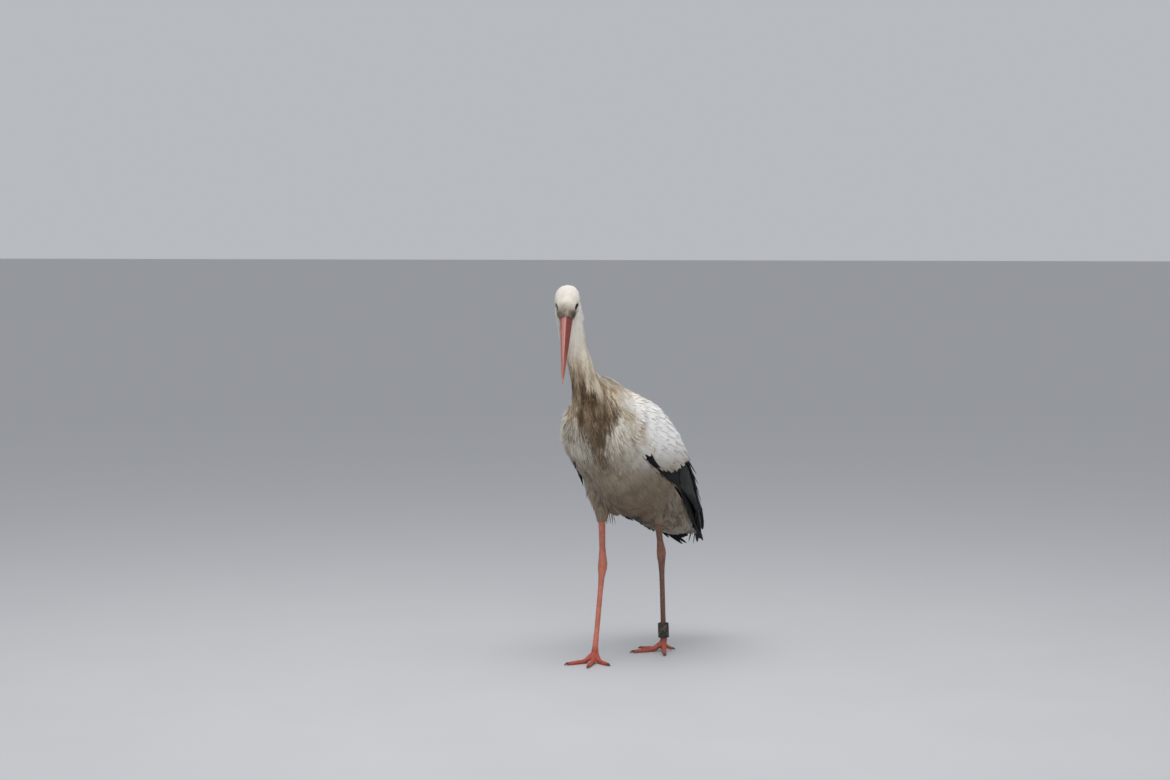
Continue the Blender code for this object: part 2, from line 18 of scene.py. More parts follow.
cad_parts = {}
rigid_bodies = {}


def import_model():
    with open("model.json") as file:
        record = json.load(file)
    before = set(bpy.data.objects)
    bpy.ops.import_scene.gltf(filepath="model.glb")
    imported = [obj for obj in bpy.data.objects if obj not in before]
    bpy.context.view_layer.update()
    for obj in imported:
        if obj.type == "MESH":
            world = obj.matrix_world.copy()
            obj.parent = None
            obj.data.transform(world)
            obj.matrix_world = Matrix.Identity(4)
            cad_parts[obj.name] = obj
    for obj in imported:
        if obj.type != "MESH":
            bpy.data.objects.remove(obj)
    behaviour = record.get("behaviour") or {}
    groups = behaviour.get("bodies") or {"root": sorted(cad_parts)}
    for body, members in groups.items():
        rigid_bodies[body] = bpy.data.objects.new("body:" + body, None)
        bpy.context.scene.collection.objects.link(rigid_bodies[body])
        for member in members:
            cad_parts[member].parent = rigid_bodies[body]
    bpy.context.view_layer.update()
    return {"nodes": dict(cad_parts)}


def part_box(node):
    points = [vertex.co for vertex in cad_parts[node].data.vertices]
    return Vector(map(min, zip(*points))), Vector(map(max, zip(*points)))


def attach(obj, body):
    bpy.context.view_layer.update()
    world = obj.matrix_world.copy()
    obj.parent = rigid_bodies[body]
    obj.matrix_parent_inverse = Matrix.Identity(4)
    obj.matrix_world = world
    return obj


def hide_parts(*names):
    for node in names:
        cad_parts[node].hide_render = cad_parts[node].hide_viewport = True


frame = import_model()

# ---------------------------------------------------------------- skin
# The flesh of head, neck, trunk, thighs, tail and folded wings is one soft, closed skin. It is made from
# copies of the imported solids, grown until the cuts between them close, fused, smoothed, and drawn in again
# by the depth of the feathers that will lie on it.
FLESH = ("head", "neck_upper", "neck_lower", "trunk", "thigh_left", "thigh_right", "tail")
FLESH += ("wing_left_coverts", "wing_right_coverts", "wing_left_flight", "wing_right_flight")
SKIN_VOXEL = 0.0031
SKIN_SWELL = 0.0015
SKIN_SMOOTHING = 6
SPIKE_HEIGHT = 0.35 * SKIN_VOXEL  # a point this far off its neighbours' middle stands out


def bake(obj):
    """Turns an object's modifiers into its mesh and takes them off."""
    settled = obj.evaluated_get(bpy.context.evaluated_depsgraph_get())
    mesh = bpy.data.meshes.new_from_object(settled)
    old = obj.data
    obj.modifiers.clear()
    obj.data = mesh
    mesh.name = obj.name
    if old.users == 0:
        bpy.data.meshes.remove(old)
    return obj


def shown(name, mesh):
    obj = bpy.data.objects.new(name, mesh)
    bpy.context.scene.collection.objects.link(obj)
    return obj


def joined_nodes(name, nodes):
    """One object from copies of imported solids, with the loose triangles of each merged first."""
    bm = bmesh.new()
    for node in nodes:
        bm.from_mesh(frame["nodes"][node].data)
    bmesh.ops.remove_doubles(bm, verts=bm.verts, dist=1e-6)
    mesh = bpy.data.meshes.new(name)
    bm.to_mesh(mesh)
    bm.free()
    return shown(name, mesh)


def fused(name, nodes, voxel, swell, smoothing):
    """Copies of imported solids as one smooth, closed surface of the same size."""
    obj = joined_nodes(name, nodes)
    grow = obj.modifiers.new("grow", "DISPLACE")
    grow.strength = swell
    grow.mid_level = 0.0
    remesh = obj.modifiers.new("fuse", "REMESH")
    remesh.mode = "VOXEL"
    remesh.voxel_size = voxel
    soften = obj.modifiers.new("soften", "SMOOTH")
    soften.factor = 0.5
    soften.iterations = smoothing
    shrink = obj.modifiers.new("shrink", "DISPLACE")
    shrink.strength = -swell
    shrink.mid_level = 0.0
    return bake(obj)


def without_islands(obj):
    """Leaves only the largest of the object's separate shells."""
    bm = bmesh.new()
    bm.from_mesh(obj.data)
    seen, shells = set(), []
    for start in bm.verts:
        if start.index in seen:
            continue
        shell, front = [], [start]
        seen.add(start.index)
        while front:
            vert = front.pop()
            shell.append(vert)
            for edge in vert.link_edges:
                other = edge.other_vert(vert)
                if other.index not in seen:
                    seen.add(other.index)
                    front.append(other)
        shells.append(shell)
    shells.sort(key=len)
    bmesh.ops.delete(bm, geom=[vert for shell in shells[:-1] for vert in shell], context="VERTS")
    bm.to_mesh(obj.data)
    bm.free()
    return obj


def vertex_array(mesh, what="co"):
    values = np.empty(len(mesh.vertices) * 3, dtype=np.float32)
    if what == "co":
        mesh.vertices.foreach_get("co", values)
    else:
        mesh.vertex_normals.foreach_get("vector", values)
    return values.reshape(-1, 3)


def ease(value, low, high):
    """0 below low, 1 above high and a smooth rise between; falls instead where high is below low."""
    share = np.clip((value - low) / (high - low), 0, 1)
    return share * share * (3 - 2 * share)


def unit(vector):
    return vector / np.linalg.norm(vector)


def box_middle(points):
    return (points.min(0) + points.max(0)) / 2


def node_points(node):
    return vertex_array(frame["nodes"][node].data)


def end_middle(node, direction, share=0.12):
    """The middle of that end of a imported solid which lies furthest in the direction."""
    points = node_points(node)
    reach = points @ np.array(direction)
    limit = reach.max() - share * (reach.max() - reach.min())
    return box_middle(points[reach >= limit])


SIDES = ("left", "right")
eye_points = {side: box_middle(node_points(f"eye_{side}")) for side in SIDES}
between_eyes = (eye_points["left"] + eye_points["right"]) / 2
bill_tip = min(node_points("bill_upper"), key=lambda p: p[2])
head_left = unit(eye_points["left"] - eye_points["right"])
head_up = unit(np.cross(unit(bill_tip - between_eyes), head_left))
head_ahead = np.cross(head_left, head_up)
bill_root = end_middle("bill_upper", -head_ahead, 0.06)

neck_top = end_middle("neck_upper", (0.0, 0.0, 1.0), 0.15)
neck_middle = end_middle("neck_lower", (0.0, 0.0, 1.0), 0.08)
neck_root = end_middle("neck_lower", (0.0, 0.5, -0.87), 0.25)
rump = end_middle("trunk", (0.0, 0.82, -0.57), 0.10)
tail_end = end_middle("tail", (0.0, 0.82, -0.57), 0.10)
BACKBONE = [bill_root, between_eyes - 0.012 * head_ahead, neck_top, (neck_top + neck_middle) / 2]
BACKBONE += [neck_middle, neck_root, neck_root * 0.45 + rump * 0.55, rump, tail_end]

skin = without_islands(fused("skin", FLESH, SKIN_VOXEL, SKIN_SWELL, SKIN_SMOOTHING))
skin.data.shade_smooth()
skin_edges = np.array([edge.vertices[:] for edge in skin.data.edges])
edge_count = np.bincount(skin_edges.ravel(), minlength=len(skin.data.vertices))


def spread(values, rounds):
    """Evens out values over the skin, so that a lone point takes after its neighbours."""
    for _ in range(rounds):
        total = np.bincount(skin_edges[:, 0], values[skin_edges[:, 1]], len(values))
        total += np.bincount(skin_edges[:, 1], values[skin_edges[:, 0]], len(values))
        values = 0.5 * values + 0.5 * total / edge_count
    return values


def without_spikes(points):
    """Points that stand out of their neighbours' middle, in the clefts under the wings, are laid back."""
    for _ in range(10):
        middle = np.stack([spread(points[:, axis], 1) for axis in range(3)], axis=1)
        stray = np.linalg.norm(points - middle, axis=1) > SPIKE_HEIGHT
        points = np.where(stray[:, None], middle, points)
    return points


def moved_skin(points):
    """Moves the skin's points, and gives them back with the new normals."""
    skin.data.vertices.foreach_set("co", points.astype(np.float32).ravel())
    skin.data.update()
    return points, vertex_array(skin.data, "normal")


skin_points, skin_normals = moved_skin(without_spikes(vertex_array(skin.data)))


def backbone_samples(count=120):
    """Evenly spread points along the backbone, with the direction from bill to tail and the way gone."""
    corners = np.array(BACKBONE)
    lengths = np.linalg.norm(np.diff(corners, axis=0), axis=1)
    gone = np.concatenate([[0], np.cumsum(lengths)])
    along = np.linspace(0, gone[-1], count)
    points = np.stack([np.interp(along, gone, corners[:, axis]) for axis in range(3)], 1)
    for _ in range(6):
        points[1:-1] = (points[:-2] + points[1:-1] * 2 + points[2:]) / 4
    directions = np.gradient(points, axis=0)
    directions /= np.linalg.norm(directions, axis=1)[:, None]
    return points, directions, along


def way_at(point):
    """How far along the backbone a place lies."""
    return float(spine_gone[np.linalg.norm(spine - point, axis=1).argmin()])


spine, spine_ways, spine_gone = backbone_samples()
away = np.linalg.norm(skin_points[:, None, :] - spine[None, :, :], axis=2)
nearness = 1 / (away ** 6 + 1e-12)
nearness /= nearness.sum(1)[:, None]
lie = nearness @ spine_ways
body_way = nearness @ spine_gone  # how far a point lies from the bill's root along the bird


def from_place(place):
    """How far each point of the skin lies from a place."""
    return np.linalg.norm(skin_points - np.array(place), axis=1)


def from_line(start, end, furthest=1.0):
    """How far down a line each point of the skin lies, as a share of its length, and how far off it."""
    shaft = end - start
    gone = np.clip((skin_points - start) @ shaft / (shaft @ shaft), 0, furthest)
    return gone, np.linalg.norm(skin_points - start - gone[:, None] * shaft, axis=1)


def laid_flat(ways):
    """Directions turned into the surface of the skin."""
    ways = ways - (ways * skin_normals).sum(1)[:, None] * skin_normals
    return ways / (np.linalg.norm(ways, axis=1)[:, None] + 1e-9)


thigh_share = np.zeros(len(skin_points))
for side in SIDES:
    knee = end_middle(f"tibia_{side}", (0, 0, 1), 0.1)
    hip = box_middle(node_points(f"thigh_{side}"))
    hip[2] = knee[2] + 0.09
    gone, gap = from_line(hip, knee, 1.2)
    share = ease(gap, 0.050, 0.026) * ease(gone, 0.15, 0.75)
    lie = lie * (1 - share[:, None]) + unit(knee - hip) * share[:, None]
    thigh_share = np.maximum(thigh_share, share)
lie = laid_flat(lie)

TAIL_TOP = float(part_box("tail")[1][2])
FLANK_LINE = (-0.024, -0.180, 0.500), (-0.052, -0.075, 0.405)  # down the right flank, before the wing
BELLY_HOLLOW, FLANK_HOLLOW = 0.014, 0.010  # how much further the skin is drawn in there


def depth_of_coat():
    """How deep the feathers lie at each point of the skin: thin on face and tail, deep on neck and breast.
    The hollow belly behind the legs and the right flank before the wing are drawn in further."""
    depth = 0.0008 + 0.0022 * ease(body_way, 0.075, 0.13) + 0.0016 * ease(body_way, 0.20, 0.34)
    tail_part = ease(skin_points[:, 2], TAIL_TOP, TAIL_TOP - 0.03) * ease(body_way, 0.60, 0.68)
    hang = ease(-skin_normals[:, 2], 0.40, 0.80) * ease(np.abs(skin_points[:, 1] - 0.05), 0.13, 0.05)
    hang *= ease(np.abs(skin_points[:, 0]), 0.085, 0.035) * (1 - ease(thigh_share, 0.05, 0.3))
    flank = ease(from_line(*np.array(FLANK_LINE))[1], 0.060, 0.015)
    return depth * (1 - 0.8 * tail_part) + BELLY_HOLLOW * hang + FLANK_HOLLOW * flank


coat_depth = depth_of_coat()
skin_points, skin_normals = moved_skin(without_spikes(skin_points - skin_normals * coat_depth[:, None]))


def keep_on(obj, name, values):
    """Stores one number or one direction for each point of a mesh, for the feathers to read."""
    kind, slot = ("FLOAT", "value") if values.ndim == 1 else ("FLOAT_VECTOR", "vector")
    layer = obj.data.attributes.new(name, kind, "POINT")
    layer.data.foreach_set(slot, values.astype(np.float32).ravel())


def keep_on_skin(name, values):
    keep_on(skin, name, values)


for obj in bpy.data.objects:
    obj.select_set(False)
bpy.context.view_layer.objects.active = skin
skin.select_set(True)
bpy.ops.object.mode_set(mode="EDIT")
bpy.ops.mesh.select_all(action="SELECT")
bpy.ops.uv.smart_project(angle_limit=math.radians(66), island_margin=0.004)
bpy.ops.object.mode_set(mode="OBJECT")
skin.data.uv_layers[0].name = "OFBake"


# ---------------------------------------------------------------- white plumage
# Body feathers are thin vanes of keratin, each set in the skin and lying over the next one down the body.
# A vane is a flat closed blade. It starts at its root, walks over the skin along the lie of the coat, and
# rises from the skin to the coat's depth at its tip, so that the tips overlap like shingles.
class Wire:
    """A node's output. Arithmetic on wires adds Math nodes, so that a pattern reads as a sum."""

    def __init__(self, graph, socket):
        self.graph = graph
        self.socket = socket

    def __add__(self, other):
        return self.graph.sum("ADD", self, other)

    def __sub__(self, other):
        return self.graph.sum("SUBTRACT", self, other)

    def __rsub__(self, other):
        return self.graph.sum("SUBTRACT", other, self)

    def __mul__(self, other):
        return self.graph.sum("MULTIPLY", self, other)

    def __truediv__(self, other):
        return self.graph.sum("DIVIDE", self, other)

    def __rtruediv__(self, other):
        return self.graph.sum("DIVIDE", other, self)

    def __pow__(self, other):
        return self.graph.sum("POWER", self, other)

    __radd__ = __add__
    __rmul__ = __mul__


class Graph:
    """A shader or geometry tree under construction."""

    def __init__(self, tree):
        self.tree = tree

    def add(self, kind, settings=None, sockets=None, output=0):
        """One node: its settings first, then the value or the link of each socket."""
        node = self.tree.nodes.new(kind)
        for name, value in (settings or {}).items():
            setattr(node, name, value)
        for key, value in (sockets or {}).items():
            if isinstance(value, Wire):
                self.tree.links.new(value.socket, node.inputs[key])
            else:
                node.inputs[key].default_value = value
        return Wire(self, node.outputs[output])

    def sum(self, operation, first, second=0.0):
        return self.add("ShaderNodeMath", {"operation": operation}, {0: first, 1: second})

    def vector(self, operation, first, second=(0, 0, 0), output=0):
        return self.add("ShaderNodeVectorMath", {"operation": operation}, {0: first, 1: second}, output)

    def scaled(self, vector, by):
        return self.add("ShaderNodeVectorMath", {"operation": "SCALE"}, {0: vector, "Scale": by})

    def ease(self, value, low, high):
        """0 below low, 1 above high, smooth between; low may be the larger."""
        return self.add("ShaderNodeMapRange", {"interpolation_type": "SMOOTHSTEP"},
                        {"Value": value, "From Min": low, "From Max": high})

    def output(self, wire, name):
        return Wire(self, wire.socket.node.outputs[name])


# What every vane tree is given: the skin, the surface that the vanes lie on, the facets of a blade, its
# outline and section, and how closely and how far along it keeps to the surface.
VANE_INPUTS = {"Object": ("Skin", "Guide"), "Int": ("Rows", "Sides", "Seed"), "Material": ("Finish",),
               "Float": ("Bluntness", "Root Width", "Thickness", "Camber", "Depth", "Hug", "Let Go",
                         "Softness")}
# And what a coat of strewn vanes is given as well.
STREWN_INPUTS = {"String": ("Zone",),
                 "Float": VANE_INPUTS["Float"] + ("Spacing", "Length", "Width", "Spread of Sizes",
                                                  "Waywardness", "Stiffness", "Fluff", "Lock Size",
                                                  "Locks", "Lift")}


def named(graph, name, kind="FLOAT"):
    return graph.add("GeometryNodeInputNamedAttribute", {"data_type": kind}, {"Name": name})


def named_vector(graph, name):
    return named(graph, name, "FLOAT_VECTOR")


def keep(graph, geometry, name, value, kind="FLOAT", domain="POINT", selection=True):
    return graph.add("GeometryNodeStoreNamedAttribute", {"data_type": kind, "domain": domain},
                     {"Geometry": geometry, "Name": name, "Value": value, "Selection": selection})


def chance(graph, low, high, seed):
    return graph.add("FunctionNodeRandomValue", {"data_type": "FLOAT"}, {2: low, 3: high, "Seed": seed}, 1)


def between(graph, share, first, second):
    """The direction or place that lies that share of the way from the first to the second."""
    return graph.add("ShaderNodeMix", {"data_type": "VECTOR"}, {0: share, 4: first, 5: second}, 1)


def greater(graph, first, second):
    return graph.add("FunctionNodeCompare", {"data_type": "FLOAT", "operation": "GREATER_THAN"},
                     {0: first, 1: second})


def new_tree(name, inputs):
    tree = bpy.data.node_groups.new(name, "GeometryNodeTree")
    for kind, labels in inputs.items():
        for label in labels:
            tree.interface.new_socket(label, in_out="INPUT", socket_type="NodeSocket" + kind)
    tree.interface.new_socket("Geometry", in_out="OUTPUT", socket_type="NodeSocketGeometry")
    graph = Graph(tree)
    group = tree.nodes.new("NodeGroupInput")
    return graph, {socket.name: Wire(graph, socket) for socket in group.outputs if socket.name}


STRAIGHT_ENOUGH = 0.80  # a vane whose ends are nearer than this share of its length has crumpled in a cleft
ROOT_SUNK = 0.0006  # how far under the skin a root starts
PATCH = 0.003  # how wide a vane's place on the skin's unwrap is


def lay_vanes(graph, roots, guide, given):
    """Grows a vane from each root over the guide's surface. A root carries length, width, tone, fluff,
    stiffness, aim, upright and layer, its height over the skin. A placed feather's root also carries roll,
    its sideways tilt. A vane that has crumpled in a cleft is left out."""
    sides, rows = given["Sides"], given["Rows"]
    surface = graph.add("GeometryNodeObjectInfo", sockets={"Object": given["Skin"]}, output="Geometry")

    def nearest(mesh, value, here):
        return graph.add("GeometryNodeSampleNearestSurface", {"data_type": "FLOAT_VECTOR"},
                         {"Mesh": mesh, "Value": value, "Sample Position": here})

    def on_skin(name, here):
        return nearest(guide, named_vector(graph, name), here)

    here = graph.add("GeometryNodeInputPosition")
    roots = keep(graph, roots, "root", here, "FLOAT_VECTOR")
    patch = nearest(surface, named_vector(graph, "OFBake"), here)
    roots = keep(graph, roots, "patch", patch, "FLOAT_VECTOR")
    roots = keep(graph, roots, "way", named_vector(graph, "aim"), "FLOAT_VECTOR")

    blade = graph.add("GeometryNodeMeshCylinder", {"fill_type": "NGON"},
                      {"Vertices": sides, "Side Segments": rows, "Radius": 0.001, "Depth": 0.001})
    vanes = graph.add("GeometryNodeInstanceOnPoints", sockets={"Points": roots, "Instance": blade})
    vanes = graph.add("GeometryNodeRealizeInstances", sockets={0: vanes})
    index = graph.add("GeometryNodeInputIndex")
    blade_points = sides * (rows + 1)
    angle = graph.sum("MODULO", index, sides) / sides * (2 * math.pi) + math.pi / 2
    ring = graph.sum("FLOOR", graph.sum("MODULO", index, blade_points) / sides)
    vanes = keep(graph, vanes, "ring", ring)
    vanes = keep(graph, vanes, "across", graph.sum("COSINE", angle))
    vanes = keep(graph, vanes, "lift", graph.sum("SINE", angle))
    ring = named(graph, "ring")

    def gone(step):
        """Rows lie closer together towards the tip, where the outline turns fastest."""
        return 1 - (1 - step / rows) ** 1.4

    vanes = keep(graph, vanes, "along", gone(ring))
    vanes = graph.add("GeometryNodeSetPosition",
                      sockets={0: vanes, "Position": named_vector(graph, "root")})

    enter = graph.tree.nodes.new("GeometryNodeRepeatInput")
    leave = graph.tree.nodes.new("GeometryNodeRepeatOutput")
    enter.pair_with_output(leave)
    graph.tree.links.new(rows.socket, enter.inputs["Iterations"])
    graph.tree.links.new(vanes.socket, enter.inputs["Geometry"])
    turn = Wire(graph, enter.outputs["Iteration"])
    beyond = greater(graph, ring, turn)
    hug = given["Hug"] * graph.ease(gone(turn), 1.0, given["Let Go"])
    here = graph.add("GeometryNodeInputPosition")
    upright = between(graph, hug, named_vector(graph, "upright"), on_skin("up", here))
    walking = keep(graph, Wire(graph, enter.outputs["Geometry"]), "upright",
                   graph.vector("NORMALIZE", upright), "FLOAT_VECTOR", selection=beyond)
    led = (1 - named(graph, "stiffness")) * hug
    way = between(graph, led, named_vector(graph, "aim"), on_skin("lie", here))
    upright = named_vector(graph, "upright")
    lean = graph.vector("DOT_PRODUCT", way, upright, "Value")
    way = graph.vector("NORMALIZE", graph.vector("SUBTRACT", way, graph.scaled(upright, lean * hug)))
    walking = keep(graph, walking, "way", way, "FLOAT_VECTOR", selection=beyond)
    stride = named(graph, "length") * (gone(turn + 1) - gone(turn))
    free = graph.vector("ADD", here, graph.scaled(named_vector(graph, "way"), stride))
    held = nearest(guide, here, free)
    walking = graph.add("GeometryNodeSetPosition", sockets={
        0: walking, "Selection": beyond, "Position": between(graph, hug, free, held)})
    graph.tree.links.new(walking.socket, leave.inputs["Geometry"])
    vanes = Wire(graph, leave.outputs["Geometry"])

    last_point = (graph.sum("FLOOR", (index + 0.5) / blade_points) + 1) * blade_points - 1
    end = graph.add("GeometryNodeFieldAtIndex", {"data_type": "FLOAT_VECTOR"},
                    {"Index": last_point, "Value": here})
    span = graph.vector("DISTANCE", end, named_vector(graph, "root"), "Value")
    crumpled = greater(graph, STRAIGHT_ENOUGH, span / named(graph, "length"))
    vanes = graph.add("GeometryNodeDeleteGeometry", sockets={0: vanes, "Selection": crumpled})
    vanes = graph.add("GeometryNodeSetPosition", sockets={
        0: vanes, "Selection": greater(graph, 0.5, ring), "Position": nearest(surface, here, here)})

    upright = named_vector(graph, "upright")
    side = graph.vector("NORMALIZE", graph.vector("CROSS_PRODUCT", named_vector(graph, "way"), upright))
    along, across, lift = named(graph, "along"), named(graph, "across"), named(graph, "lift")
    outline = given["Root Width"] + (1 - given["Root Width"]) * graph.ease(along, 0.0, 0.35)
    outline = outline * (1 - along ** given["Bluntness"]) ** 0.6
    reach = across * named(graph, "width") * outline
    rise = given["Depth"] * along ** 0.8 + named(graph, "fluff") * along * along
    rise = rise - ROOT_SUNK * (1 - along)
    rise = rise + lift * given["Thickness"] * (1 - along * 0.7)
    rise = rise - given["Camber"] * across * across * outline
    rise = rise + named(graph, "layer") + reach * named(graph, "roll")
    offset = graph.vector("ADD", graph.scaled(side, reach), graph.scaled(upright, rise))
    vanes = graph.add("GeometryNodeSetPosition", sockets={0: vanes, "Offset": offset})

    patch = graph.add("ShaderNodeCombineXYZ",
                      sockets={0: across * (PATCH / 2), 1: along * PATCH - PATCH / 2})
    patch = graph.vector("ADD", named_vector(graph, "patch"), patch)
    own = graph.add("ShaderNodeCombineXYZ", sockets={0: across * 0.5 + 0.5, 1: along})
    vanes = keep(graph, vanes, "vane", own, "FLOAT2", "CORNER")
    vanes = keep(graph, vanes, "OFBake", patch, "FLOAT2", "CORNER")
    sharp = greater(graph, graph.add("GeometryNodeInputMeshEdgeAngle"), math.radians(65))
    vanes = graph.add("GeometryNodeSetShadeSmooth", sockets={0: vanes})
    vanes = keep(graph, vanes, "sharp_edge", sharp, "BOOLEAN", "EDGE")
    true_normal = graph.add("GeometryNodeInputNormal")
    facing = graph.vector("DOT_PRODUCT", true_normal, upright, "Value")
    soft = between(graph, given["Softness"] * graph.ease(facing, 0.0, 0.3), true_normal, upright)
    vanes = graph.add("GeometryNodeSetMeshNormal", {"mode": "FREE", "domain": "CORNER"},
                      {"Mesh": vanes, "Custom Normal": graph.vector("NORMALIZE", soft)})
    for spent in ("ring", "across", "lift", "along", "root", "aim", "way", "upright", "stiffness", "length",
                  "width", "fluff", "patch", "lie", "up", "scale", "layer", "roll"):
        vanes = graph.add("GeometryNodeRemoveAttribute", sockets={0: vanes, "Name": spent})
    vanes = graph.add("GeometryNodeSetMaterial", sockets={0: vanes, "Material": given["Finish"]})
    exit_node = graph.tree.nodes.new("NodeGroupOutput")
    graph.tree.links.new(vanes.socket, exit_node.inputs["Geometry"])
    return graph.tree


def strewn_coat_tree():
    """Roots strewn evenly over a zone of the guide, each with a vane. Neighbours keep together in locks."""
    graph, given = new_tree("strewn coat", {**VANE_INPUTS, **STREWN_INPUTS})
    seed, spacing = given["Seed"], given["Spacing"]
    guide = graph.add("GeometryNodeObjectInfo", sockets={"Object": given["Guide"]}, output="Geometry")
    roots = graph.add("GeometryNodeDistributePointsOnFaces", {"distribute_method": "POISSON"},
                      {"Mesh": guide, "Distance Min": spacing, "Density Max": 2.5 / (spacing * spacing),
                       "Density Factor": named(graph, given["Zone"]), "Seed": seed})
    size_of_vane = 1 + given["Spread of Sizes"] * chance(graph, -1.0, 1.0, seed + 1)
    scale = named(graph, "scale")
    here = graph.add("GeometryNodeInputPosition")
    lock, turn = (graph.add("ShaderNodeTexNoise", {"noise_dimensions": "4D"},
                            {"Vector": here, "W": where, "Scale": size / given["Lock Size"], "Detail": 1.0})
                  for where, size in ((seed * 1.7, 1.0), (seed * 2.3 + 40, 0.7)))
    share = given["Locks"]
    roots = keep(graph, roots, "length", given["Length"] * size_of_vane * scale)
    roots = keep(graph, roots, "width", given["Width"] * (0.5 + 0.5 * size_of_vane) * (0.4 + 0.6 * scale))
    tone = chance(graph, 0.0, 1.0, seed + 2) * (1 - share) + graph.ease(lock, 0.33, 0.67) * share
    roots = keep(graph, roots, "tone", tone)
    lift = given["Fluff"] * (chance(graph, 0.0, 1.0, seed + 3) ** 3 + graph.ease(turn, 0.4, 0.7) * share)
    roots = keep(graph, roots, "fluff", lift)
    roots = keep(graph, roots, "stiffness", given["Stiffness"])
    roots = keep(graph, roots, "layer", given["Lift"])
    swing = chance(graph, -1.0, 1.0, seed + 4) * (1 - share * 0.7) + (turn - 0.5) * 5 * share
    swing = graph.add("ShaderNodeVectorRotate", {"rotation_type": "AXIS_ANGLE"},
                      {"Vector": named_vector(graph, "lie"), "Axis": named_vector(graph, "up"),
                       "Angle": given["Waywardness"] * swing})
    roots = keep(graph, roots, "aim", swing, "FLOAT_VECTOR")
    roots = keep(graph, roots, "upright", named_vector(graph, "up"), "FLOAT_VECTOR")
    return lay_vanes(graph, roots, guide, given)


def placed_feathers_tree():
    """A vane from each point of the object's own mesh, which says how that feather goes."""
    graph, given = new_tree("placed feathers", {"Geometry": ("Geometry",), **VANE_INPUTS})
    guide = graph.add("GeometryNodeObjectInfo", sockets={"Object": given["Guide"]}, output="Geometry")
    return lay_vanes(graph, given["Geometry"], guide, given)


STREWN_COAT = strewn_coat_tree()
PLACED_FEATHERS = placed_feathers_tree()


def grow(obj, tree, **sizes):
    """Runs a geometry tree on an object and leaves the result as its plain mesh."""
    modifier = obj.modifiers.new("grow", "NODES")
    modifier.node_group = tree
    for item in tree.interface.items_tree:
        if item.in_out == "INPUT" and item.name.replace(" ", "_") in sizes:
            modifier[item.identifier] = sizes[item.name.replace(" ", "_")]
    bake(obj)
    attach(obj, "root")
    return obj


def strewn_coat(name, zone, habit, guide=None, **sizes):
    """A coat over a zone of the skin, or of a guide over it. The zone is a share for each point."""
    guide = guide or skin
    keep_on(guide, name + " zone", zone)
    obj = shown(name, bpy.data.meshes.new(name))
    usual = {"Skin": skin, "Guide": guide, "Rows": 4, "Sides": 3, "Bluntness": 2.4, "Root_Width": 0.5,
             "Thickness": 0.0003, "Camber": 0.0, "Depth": 0.003, "Hug": 1.0, "Let_Go": 1.0,
             "Softness": 0.9, "Spread_of_Sizes": 0.3, "Waywardness": 0.25, "Stiffness": 0.4,
             "Fluff": 0.0005, "Lock_Size": 0.012, "Locks": 0.5, "Lift": 0.0, "Seed": 7}
    own = {"Zone": name + " zone", "Finish": white.material}
    return grow(obj, STREWN_COAT, **{**usual, **own, **habit, **sizes})


def srgb(code):
    """A paint's hex code as linear colour."""
    parts = [int(code[i:i + 2], 16) / 255 for i in (0, 2, 4)]
    return (*(part / 12.92 if part < 0.04045 else ((part + 0.055) / 1.055) ** 2.4 for part in parts), 1.0)


def material_graph(name, **constants):
    """A new material with a Principled shader, whose constant sockets are set here."""
    material = bpy.data.materials.new(name)
    material.use_nodes = True
    graph = Graph(material.node_tree)
    shader = material.node_tree.nodes["Principled BSDF"]
    for label, value in constants.items():
        shader.inputs[label.replace("_", " ")].default_value = value
    graph.shader = shader
    graph.material = material
    return graph


def feed(graph, label, wire):
    graph.tree.links.new(wire.socket, graph.shader.inputs[label])


def blend(graph, share, first, second):
    return graph.add("ShaderNodeMix", {"data_type": "RGBA"}, {0: share, 6: first, 7: second}, 2)


def painted_over(graph, colour, layers):
    """Lays paints over a colour one after another, each with its share of the surface."""
    for share, code in layers:
        colour = blend(graph, share, colour, srgb(code))
    return colour


def own_place(graph):
    """A point's place in the object's own frame, which the patterns follow."""
    return graph.add("ShaderNodeTexCoord", output="Object")


def kept_value(graph, name):
    """A number that a mesh carries for each of its points."""
    return graph.add("ShaderNodeAttribute", {"attribute_name": name}, output="Fac")


def noise(graph, vector, scale, detail):
    return graph.add("ShaderNodeTexNoise", sockets={"Vector": vector, "Scale": scale, "Detail": detail})


def stretched(graph, vector, scale):
    return graph.add("ShaderNodeMapping", sockets={"Vector": vector, "Scale": scale})


def slope(graph, value, low, high, start, end):
    """Goes straight from start to end while the value goes from low to high."""
    return graph.add("ShaderNodeMapRange", sockets={"Value": value, "From Min": low, "From Max": high,
                                                    "To Min": start, "To Max": end})


def relief(graph, height, strength, distance):
    """Gives the surface a fine relief."""
    feed(graph, "Normal", graph.add("ShaderNodeBump", sockets={"Strength": strength, "Distance": distance,
                                                               "Height": height}))


HEAD_END = way_at(neck_top)
NECK_END = way_at(neck_root)
NECK_TOP = float(neck_top[2])
PLUME_TIP = Vector((0.028, -0.172, 0.440))

flesh_faces, flesh_of_face, flesh_corners = [], [], []
for number, node in enumerate(FLESH):
    mesh = frame["nodes"][node].data
    start = len(flesh_corners)
    flesh_corners.extend(vert.co.copy() for vert in mesh.vertices)
    for face in mesh.polygons:
        flesh_faces.append([start + index for index in face.vertices])
        flesh_of_face.append(number)
flesh_tree = BVHTree.FromPolygons(flesh_corners, flesh_faces)
flesh_surface = skin_points + skin_normals * coat_depth[:, None]
flesh_of = np.array([flesh_of_face[flesh_tree.find_nearest(Vector(point))[2]] for point in flesh_surface])


def near_nodes(*nodes):
    """1 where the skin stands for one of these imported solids, else 0, with no lone points."""
    share = np.isin(flesh_of, [FLESH.index(node) for node in nodes]).astype(float)
    return (spread(share, 8) > 0.5).astype(float)


